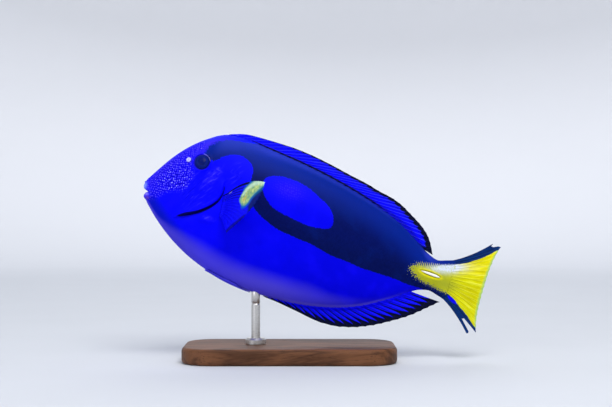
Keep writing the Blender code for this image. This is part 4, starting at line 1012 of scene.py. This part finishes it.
def round_section(u, turn, grow):
    """A point of the plain left flank: turn is -1 at the keel, 0 at the widest line and 1 at the back."""
    middle, angle = widest(u), turn * math.pi / 2
    power = 2 / np.where(turn > 0, back_sharpness(u), belly_sharpness(u))
    tall = np.where(turn > 0, back(u) + grow - middle, middle - belly(u) + grow)
    return np.stack([u, -np.clip(np.cos(angle), 0, None) ** power * (half_width(u) + grow),
                     middle + np.sign(turn) * np.abs(np.sin(angle)) ** power * tall], -1)


def pelvic_place(side):
    """place(s, t) for the belly-side fin of one side: -1 left, 1 right."""
    def place(s, t):
        share = np.clip(s / (PELVIC_RAYS - 1), 0, 1)
        (u_root, turn_root), (u_tip, turn_tip) = PELVIC_ROOT, PELVIC_TIP
        opened = 0.55 + 0.9 * t - 0.75 * t * t
        turn = turn_root + (turn_tip - turn_root) * t + PELVIC_SPREAD * share * opened
        u = u_root + (u_tip - 9 * share * t - u_root) * t + 1.5 * share * (1 - t)
        lift = 0.3 + PELVIC_THICKNESS / 2 + PELVIC_LIFT * t
        return round_section(u, turn - 1, lift) * (1, -side, 1)
    return place


def tell_pelvic(here):
    """A violet fin like the keel it lies on, with a thin dark edge."""
    return painted(here, dark=0.15 - here["to_margin"], keel=np.ones(here["share"].shape))


for side, name in SIDES:
    fin("pelvic_fin_" + name, pelvic_place(side), PELVIC_RAYS, 44, fin_paint, tell_pelvic, 1,
        sink=0.03, flesh=0.3, rise=lambda t: 0.5 * ray_rise(t))

# %% [markdown]
# ## Tail fin
# The tail is lemon yellow between two navy bands, which run on from the palette. It is airbrushed resin
# like the other fins, with a satin gloss. Its rays stand up only a little, so they read as a fine pleat.
# The yellow thins out to a pale green edge. The washes and the painted white highlight at its root are
# those of the skin, so the two meet without a line.

# %% Tail fin paint
tail_facts = ("yellow", "ridge", "to_margin", "out", "height", "blue_spot", "ray", "fan", "olive", "white")
tail_paint, tree, shader, told = new_paint("airbrushed_cast_tail", tail_facts, Roughness=0.45, IOR=1.5,
                                           Specular_IOR_Level=0.05)
places = add(tree, "ShaderNodeTexCoord", output="Object")
mottle = add(tree, "ShaderNodeTexNoise", {"Vector": places, "Scale": 260.0, "Detail": 3.0})
ray_map = add(tree, "ShaderNodeCombineXYZ", {"X": told["ray"], "Y": told["out"]})
stretched = add(tree, "ShaderNodeVectorMath", {0: ray_map, 1: (1.7, 0.07, 1)}, operation="MULTIPLY")
washes = add(tree, "ShaderNodeTexNoise", {"Vector": stretched, "Scale": 1.0, "Detail": 3.0})
ragged = add(tree, "ShaderNodeMath", {0: mottle, 1: 1.6, 2: told["yellow"]}, operation="MULTIPLY_ADD")
cover = covers(
    tree, ("yellow", ragged, 0.5, 1.0), ("all_ridges", told["ridge"], 0.1, 0.9),
    ("pale_edge", told["to_margin"], 2.4, 0.3), ("away_from_root", told["out"], 3, 14),
    ("near_root", told["out"], 13, -1), ("blue_spot", told["blue_spot"], -0.3, 0.3),
    ("upper_fan", told["height"], 2, 12), ("streak", washes, 0.42, 0.66), ("pale_wash", washes, 0.46, 0.34),
    ("rear", told["to_margin"], 16, 3), ("clouds", mottle, 0.34, 0.5))
cover |= {name: told[name] for name in ("fan", "olive", "white")}
overlap(tree, cover, ("rear_pale", "pale_wash", "rear"), ("streaks", "streak", "away_from_root"),
        ("ridge", "all_ridges", "away_from_root"), ("highlight_clouds", "white", "clouds"))
# the lighter ridges on the yellow and on the navy are painted highlights on the ray crests
yellow = coats(tree, linear(STEM_YELLOW), cover, ("fan", "CCCC00", 1.0), ("upper_fan", "E0D600", 0.8),
               ("streaks", "A89C00", 0.55), ("rear_pale", "E2E05C", 0.5), ("ridge", "E6E450", 0.25),
               *TAIL_WASHES_AND_HIGHLIGHT[1:], ("pale_edge", "98C06C", 0.85))
navy = coats(tree, linear("06285E"), cover, ("near_root", "02247C", 0.85), ("ridge", "0C4080", 0.6),
             ("streak", "020E38", 0.6))
colour = coats(tree, navy, cover, ("yellow", yellow, 1.0), ("blue_spot", "0606DC", 1.0))
seal(tree, shader, colour, mottle)

# %% Tail fin
CAUDAL_ROOT_U, CAUDAL_ROOT_HALF, CAUDAL_RAYS, CAUDAL_REAR_U = 209.0, 11.6, 16, 238.4
# u, half span and how far they lie raised
CAUDAL_TIP, CAUDAL_OUTER_TIP = (241.7, 30.1, 0.7), (235.6, 31.7, -0.3)
caudal_count = CAUDAL_RAYS + 2  # and one short ray outside each lobe


def caudal_place(s, t):
    """The tail fin's middle surface at ray s and share t of the way out."""
    share = np.clip(2 * s / (caudal_count - 1) - 1, -1, 1)
    root_u, root_v = CAUDAL_ROOT_U + 0.3, CAUDAL_ROOT_HALF * share - 0.2
    inner = np.minimum(1.0, np.abs(share) * (caudal_count - 1) / (caudal_count - 3))
    outside = fade(np.abs(share), 1 - 2 / (caudal_count - 1), 1)
    more_u, more_half, more_raised = (b - a for a, b in zip(CAUDAL_TIP, CAUDAL_OUTER_TIP))
    end_u = CAUDAL_REAR_U + (CAUDAL_TIP[0] - CAUDAL_REAR_U) * inner**3 + more_u * outside
    end_v = np.sign(share) * (CAUDAL_TIP[1] * inner + more_half * outside)
    end_v = end_v + CAUDAL_TIP[2] * inner + more_raised * outside
    flare = t * (1 - t) * (9 * share * np.abs(share) - 0.5 * share)
    return np.stack([root_u + (end_u - root_u) * t, 0 * t, root_v + (end_v - root_v) * t - flare], -1)


def tell_caudal(here):
    """The yellow wedge, the washes and the painted highlight of the root, and a small blue spot low on the
    lower band.
    """
    off_u, off_v = here["along"] - 219.8, here["height"] + 12.9
    spot = 1 - ((0.88 * off_u - 0.47 * off_v) / 4.1) ** 2 - ((0.47 * off_u + 0.88 * off_v) / 1.2) ** 2
    return {"yellow": signed_distance(YELLOW_WEDGE, here["along"], here["height"]), "blue_spot": spot,
            **tail_washes_and_highlight(here["along"], here["height"])}


fin("caudal_fin", caudal_place, caudal_count, 60, tail_paint, tell_caudal, dip=0.012, sink=0.12,
    slim=0.1, flesh=0.25, rise=lambda t: 0.34 * fade(t, 0.02, 0.35) * (1 - t) ** 0.5 + 0.07,
    splits={0: 0.3, caudal_count - 2: 0.06})

# %% [markdown]
# ## Eyes
# Model makers set glass eyes: a domed, dark iris behind a clear, polished front. At this size one domed
# piece with a clear coat shows the same: the coat gives a faint, sharp window of light, and the iris under
# it stays dark. A rim of skin holds each eye. Eyes, rims and nostrils are all turned round the flank's own
# outward direction, so one function turns them.


# %% Turned pieces on the flank
def turned(there, profile, segments, closed=False):
    """Points and faces of a profile of (radius, height) turned round the last of a frame's directions."""
    place, across, up, out = there
    angles = np.linspace(0, 2 * math.pi, segments, endpoint=False)
    radii, heights = (np.array(column, float)[:, None, None] for column in zip(*profile))
    points = place + radii * (np.cos(angles)[:, None] * across + np.sin(angles)[:, None] * up) + heights * out
    return points, ring_faces(len(profile), segments, closed)


def around_place(points, there):
    """How far each point is rearward and up from the middle of its piece, how far off, and its bearing."""
    off = points - there[0]
    rearward, upward = off[..., 0], off @ there[2]
    return {"rearward": rearward, "upward": upward}, np.hypot(rearward, upward), np.arctan2(upward, rearward)


# %% [markdown]
# The iris of a tang is a very dark blue, with fine fibres and a faint paler ring round the pupil.

# %% Eye glass
eye_paint, tree, shader, told = new_paint(
    "glass_eye_lampwork", ("from_middle", "bearing", "rearward"), Roughness=0.3, IOR=1.5,
    Specular_IOR_Level=0.02, Coat_Weight=0.05, Coat_Roughness=0.05, Coat_IOR=1.5)
fibre_map = add(tree, "ShaderNodeCombineXYZ", {"X": told["bearing"], "Y": told["from_middle"]})
fibres = add(tree, "ShaderNodeTexNoise", {"Vector": fibre_map, "Scale": 6.0, "Detail": 4.0})
out_from_middle = told["from_middle"]
cover = covers(tree, ("iris", out_from_middle, 2.5, 3.1), ("ring_in", out_from_middle, 2.7, 2.95),
               ("ring_out", out_from_middle, 3.3, 3.05), ("edge", out_from_middle, 4.3, 5.0),
               ("fibres", fibres, 0.42, 0.66), ("soft_edge", out_from_middle, 4.2, 5.2),
               ("front", told["rearward"], 0.5, -3.5))
overlap(tree, cover, ("front_edge", "soft_edge", "front"), ("ring", "ring_in", "ring_out"),
        ("lit_fibres", "iris", "fibres"))
seal(tree, shader, coats(tree, linear("06145A"), cover, ("iris", "061866", 1.0),
                         ("lit_fibres", "0A2070", 0.6), ("ring", "12226C", 0.2), ("edge", "020A3C", 0.6),
                         ("front_edge", "0606A0", 0.6)))

# %% Eyes
EYE_SEGMENTS = 72
EYE_DOME = [(0.05, 2.1), (0.8, 2.08), (1.6, 2.0), (2.3, 1.86), (2.8, 1.7), (3.3, 1.48), (3.8, 1.2),
            (4.2, 0.92), (4.6, 0.56), (4.9, 0.2), (5.15, -0.2), (5.3, -0.7), (5.3, -1.4), (4.9, -2.2),
            (4.0, -2.8), (0.05, -3.4)]
for side, name in SIDES:
    there = surface_frame(*EYE_PLACE, side)
    points, faces = turned(there, EYE_DOME, EYE_SEGMENTS)
    spot, from_middle, bearing = around_place(points, there)
    new_piece("glass_eye_" + name, points, faces, eye_paint, ("eye_" + name,),
              {"from_middle": from_middle, "bearing": bearing * 6, "rearward": spot["rearward"]})

# %% [markdown]
# The rims and the nostril tubes are skin too, with the same kind of lacquer. They are pieces of their own,
# because the rows of the big skin are too coarse for lips about a millimetre thick. They sink into it, so
# no gap shows. A bright crescent marks where light catches the wet rim above and behind the eye.

# %% Paint of rims and nostrils
rim_paint, tree, shader, told = new_paint(
    "airbrushed_acrylic_rims", ("rearward", "upward", "pale", "hole", "crescent"), Roughness=0.45, IOR=1.45,
    Specular_IOR_Level=0.06)
places = add(tree, "ShaderNodeTexCoord", output="Object")
mottle = add(tree, "ShaderNodeTexNoise", {"Vector": places, "Scale": 900.0, "Detail": 2.0})
cover = {"mottle": mottle} | covers(
    tree, ("behind", told["rearward"], 0, 3.5), ("above", told["upward"], -1, 3.5),
    ("pale", told["pale"], 0.0, 1.0), ("hole", told["hole"], 0.0, 1.0),
    ("crescent", told["crescent"], -0.3, 0.3))
overlap(tree, cover, ("palette", "behind", "above"))
seal(tree, shader, coats(tree, linear("0400A0"), cover, ("mottle", "1208C8", 1.0), ("palette", "061058", 1.0),
                         ("pale", "B4B4FF", 0.9), ("hole", "8078D8", 0.6), ("crescent", "8888E8", 0.75)))

# %% Rims and nostrils
EYE_RIM = [(5.7 + 0.75 * math.cos(a), -0.4 + 0.5 * math.sin(a))  # a ring 1.5 mm wide and 1 mm thick
           for a in np.linspace(0, 2 * math.pi, 14, endpoint=False)]
# u, v, radius, height and how pale
NOSTRILS = {"front": (22.3, 28.2, 1.7, 0.9, 1.0), "rear": (25.0, 28.2, 0.8, 0.3, 0.15)}
NOSTRIL_TUBE = ((1.25, -0.4), (1.08, 0.2), (0.98, 0.7), (0.82, 0.98), (0.62, 1.0), (0.4, 0.96), (0.25, 0.88),
                (0.18, 0.8), (0.04, 0.76))  # shares of its radius and height
NOSTRIL_SEGMENTS = 28
for side, name in SIDES:
    there = surface_frame(*EYE_PLACE, side)
    points, faces = turned(there, EYE_RIM, EYE_SEGMENTS, closed=True)
    spot, from_middle, bearing = around_place(points, there)
    crescent = 0.25 - np.abs(from_middle - 5.8) - 1.5 * fade(np.abs(bearing - math.radians(58)), 0.55, 0.95)
    bare = np.zeros(crescent.shape)
    new_piece("eye_rim_" + name, points, faces, rim_paint, (),
              {**spot, "pale": bare, "hole": bare, "crescent": crescent})
    for which, (u, v, radius, height, paleness) in NOSTRILS.items():
        there = surface_frame(u, v, side)
        profile = [(radius * r, height * h) for r, h in NOSTRIL_TUBE] + [(0.04, -0.6)]
        points, faces = turned(there, profile, NOSTRIL_SEGMENTS)
        radii = np.repeat([[r] for r, _ in profile], NOSTRIL_SEGMENTS, 1)
        white, hole = fade(radii, radius * 1.15, radius * 0.8), fade(radii, radius * 0.3, radius * 0.15)
        new_piece(f"nostril_{which}_{name}", points, faces, rim_paint, (),
                  {**around_place(points, there)[0], "pale": white * paleness, "hole": hole,
                   "crescent": np.full(white.shape, -9.0)})

# %% [markdown]
# ## Tail spines
# A surgeonfish carries a folding blade on each side of its tail, as sharp as a scalpel. Closed, it lies
# in a sheath with its point forward. It is a scale turned to hard, ivory-coloured horn. In resin it is
# polished, which puts a small, clear highlight along the blade. A flattened tube of changing height gives
# its shape, and a boolean cut from a disc would leave a ragged edge at this size.

# %% Horn
horn_paint, tree, shader, told = new_paint("polished_horn_resin", ("share",), Roughness=0.3, IOR=1.54,
                                           Specular_IOR_Level=0.4)
places = add(tree, "ShaderNodeTexCoord", output="Object")
streak_map = add(tree, "ShaderNodeMapping", {0: places, "Scale": (200, 1600, 1600)})
cover = covers(tree, ("hinge", told["share"], 0.9, 1.0), fall="LINEAR")
cover["streaks"] = add(tree, "ShaderNodeTexNoise", {"Vector": streak_map, "Scale": 1.0, "Detail": 3.0})
seal(tree, shader, coats(tree, linear("F8F8F4"), cover, ("streaks", "E2E0D4", 1.0), ("hinge", "D8D0A0", 1.0)))

# %% Spines
BLADE_HALF_HEIGHT = smooth(((0, 0.08), (0.08, 0.35), (0.25, 0.65), (0.5, 0.85), (0.75, 0.82), (0.92, 0.5),
                            (1, 0.2)))
BLADE_TILT = math.radians(-4)  # its point a little above its hinge
BLADE_LIFT = 1.15  # from the sheath's floor to the blade's middle
BLADE_RINGS, BLADE_SEGMENTS = 40, 20
blade_shares = np.linspace(0, 1, BLADE_RINGS)[:, None]
blade_turns = np.linspace(0, 2 * math.pi, BLADE_SEGMENTS, endpoint=False)
sideways, upwards = np.cos(blade_turns), np.sin(blade_turns)
skin_at_ends = [half_width(np.array(u)) * (1 - (np.abs(widest(u)) / 10) ** 2) for u in SPINE_SPAN]
u = spine_start + 0.5 + (spine_end - spine_start - 1) * blade_shares
skin_start, skin_end = skin_at_ends
skin_there = skin_start + (skin_end - skin_start) * (u - spine_start) / (spine_end - spine_start)
tall = BLADE_HALF_HEIGHT(blade_shares)
thick = 0.72 * tall**0.8
out = skin_there - SHEATH_DEPTH + BLADE_LIFT + thick * np.abs(sideways) ** 0.8 * np.sign(sideways)
v = tall * upwards * (1 - 0.12 * sideways**2) + (u - spine_middle) * math.tan(BLADE_TILT)
for side, name in SIDES:
    points = np.stack([u + 0 * v, side * out, v], -1)
    new_piece("horn_tail_spine_" + name, points, ring_faces(BLADE_RINGS, BLADE_SEGMENTS), horn_paint,
              ("tail_spine_" + name,), {"share": np.repeat(blade_shares, BLADE_SEGMENTS, 1)})

# %% [markdown]
# ## Stand
# The base, rod and collar are true shapes in the solids, so base and collar stay as they are and only
# get better finishes. The rod is turned again, because its top has to run on into the belly, where the
# solids leave a fitting gap. Oil leaves the walnut a soft sheen, with the grain dark on brown. The brushed
# steel is shinier on one fine line than on the next, which breaks up its highlight.

# %% Walnut
walnut, tree, shader, _ = new_paint("oiled_walnut", Roughness=0.5, IOR=1.5, Specular_IOR_Level=0.15)
places = add(tree, "ShaderNodeTexCoord", output="Object")
# rings about 5 mm apart, cut along the board, so they are long streaks on the top
board = add(tree, "ShaderNodeMapping", {0: places, "Scale": (9, 70, 60), "Rotation": (0.25, 0, 0.05)})
bends = add(tree, "ShaderNodeTexNoise", {"Vector": board, "Scale": 1.0, "Detail": 4.0, "Distortion": 0.6})
rings = add(tree, "ShaderNodeMath", {0: bends, 1: 11.0}, operation="MULTIPLY")
rings = add(tree, "ShaderNodeMath", {0: rings, 1: 1.0}, operation="PINGPONG")
pore_map = add(tree, "ShaderNodeMapping", {0: places, "Scale": (160, 2600, 2600)})
pores = add(tree, "ShaderNodeTexNoise", {"Vector": pore_map, "Scale": 1.0, "Detail": 2.0})
cover = covers(tree, ("rings", rings, 0.2, 0.95), ("pores", pores, 0.58, 0.7), fall="LINEAR")
colour = coats(tree, linear("6A442C"), cover, ("rings", "3C2415", 0.8), ("pores", "20120A", 0.7))
seal(tree, shader, colour, pores, invert=True)
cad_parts["stand_base"].data.materials[0] = walnut

# %% Brushed steel
steel, tree, shader, _ = new_paint("brushed_stainless_steel", Base_Color=linear("C4C2BE"), Metallic=1.0,
                                   Roughness=0.3)
places = add(tree, "ShaderNodeTexCoord", output="Object")
brush_map = add(tree, "ShaderNodeMapping", {0: places, "Scale": (300, 300, 9000)})  # lines round the rod
brush = add(tree, "ShaderNodeTexNoise", {"Vector": brush_map, "Scale": 1.0, "Detail": 2.0})
dullness = add(tree, "ShaderNodeMapRange", {"Value": brush, "From Min": 0.3, "From Max": 0.7, "To Min": 0.22,
                                            "To Max": 0.42})
tree.links.new(dullness, shader.inputs["Roughness"])
seal(tree, shader, height=brush, strength=0.15, depth=0.05)
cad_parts["stand_collar"].data.materials[0] = steel

# %% Rod
ROD_U, ROD_RADIUS, BASE_TOP = 90.5, 3.0, 11.0
rod_x, _, rod_top = over_stand((ROD_U, 0, belly(ROD_U))) / MM
rod_profile = [(2.6, BASE_TOP), (ROD_RADIUS, BASE_TOP + 0.4)]
rod_profile += [(ROD_RADIUS, z) for z in np.linspace(BASE_TOP + 1, rod_top - 8, 8)]
# a shallow groove under the belly, and a narrower end inside it
rod_profile += [(ROD_RADIUS, rod_top - 7.4), (2.7, rod_top - 7.1), (2.7, rod_top - 6.7),
                (ROD_RADIUS, rod_top - 6.4), (ROD_RADIUS, rod_top + 2), (2.2, rod_top + 3.4)]
points, faces = turned((np.array((rod_x, 0, 0)), *np.eye(3)), rod_profile, 48)
rod = new_piece("stand_rod_brushed", points, faces, steel, ("stand_rod",), in_fish=False)
rod.data.set_sharp_from_angle(angle=math.radians(50))

# %% [markdown]
# ## Studio
# A plain pale floor that curves up into a wall all round, so there is no horizon from any side. It is
# matt paper, which shows no lamp. Big soft lamps stand for a light tent: the main one is high in front, a
# weaker one fills from low down on the side of the head, and one behind lifts the fish's back. Small lamps
# would put hard spots on the lacquer.

# %% Floor
paper, tree, shader, _ = new_paint("studio_paper", Roughness=0.9, Specular_IOR_Level=0.1)
places = add(tree, "ShaderNodeTexCoord", output="Object")
outwards = add(tree, "ShaderNodeVectorMath", {0: places}, "Value", operation="LENGTH")
cover = covers(tree, ("wall", outwards, 0.9, 2.3))
cover["fibre"] = add(tree, "ShaderNodeTexNoise", {"Scale": 60.0, "Detail": 4.0})
# the floor is a little greyer than the wall, because the lamps reach it more, so both look alike
seal(tree, shader, coats(tree, linear("C4C7CC"), cover, ("wall", "F0F1F4", 1.0), ("fibre", "E4E6EA", 0.12)))
FLAT_REACH, BEND = 1.4, 1.3  # in metres: where the floor starts to curve up, and the radius of the curve
sweep = [(0.6, 0.0), (FLAT_REACH, 0.0)] + [
    (FLAT_REACH + BEND * math.sin(a), BEND - BEND * math.cos(a)) for a in np.linspace(0.1, math.pi / 2, 14)
] + [(2.7, 3.0)]
floor_points, floor_faces = turned((np.zeros(3), *np.eye(3)), sweep, 72)
floor = new_object("studio_floor", floor_points, floor_faces[:-1], paper)  # the wall stays open at the top

# %% Lamps
AIM = Vector((0.02, 0, 0.1))
for name, place, size, watts, hex_colour in (
        ("key_softbox", (0.3, -1.1, 1.45), 1.0, 27, "FFFFFF"),
        ("fill_softbox", (-1.2, -1.3, 0.25), 1.2, 9, "F4F6FF"),
        ("back_softbox", (0.1, 1.5, 1.5), 1.4, 14, "F8FAFF")):
    lamp = bpy.data.lights.new(name, "AREA")
    lamp.energy, lamp.size, lamp.color = watts, size, linear(hex_colour)[:3]
    lamp_object = bpy.data.objects.new(name, lamp)
    lamp_object.location = place
    lamp_object.rotation_euler = (AIM - Vector(place)).to_track_quat("-Z", "Y").to_euler()
    bpy.context.scene.collection.objects.link(lamp_object)
studio = bpy.data.worlds.new("studio")
studio.use_nodes = True
studio.node_tree.nodes["Background"].inputs["Color"].default_value = linear("E8ECF4")
studio.node_tree.nodes["Background"].inputs["Strength"].default_value = 0.6
bpy.context.scene.world = studio
bpy.context.scene.view_settings.view_transform = "Standard"  # keeps a deep blue as deep as it is painted
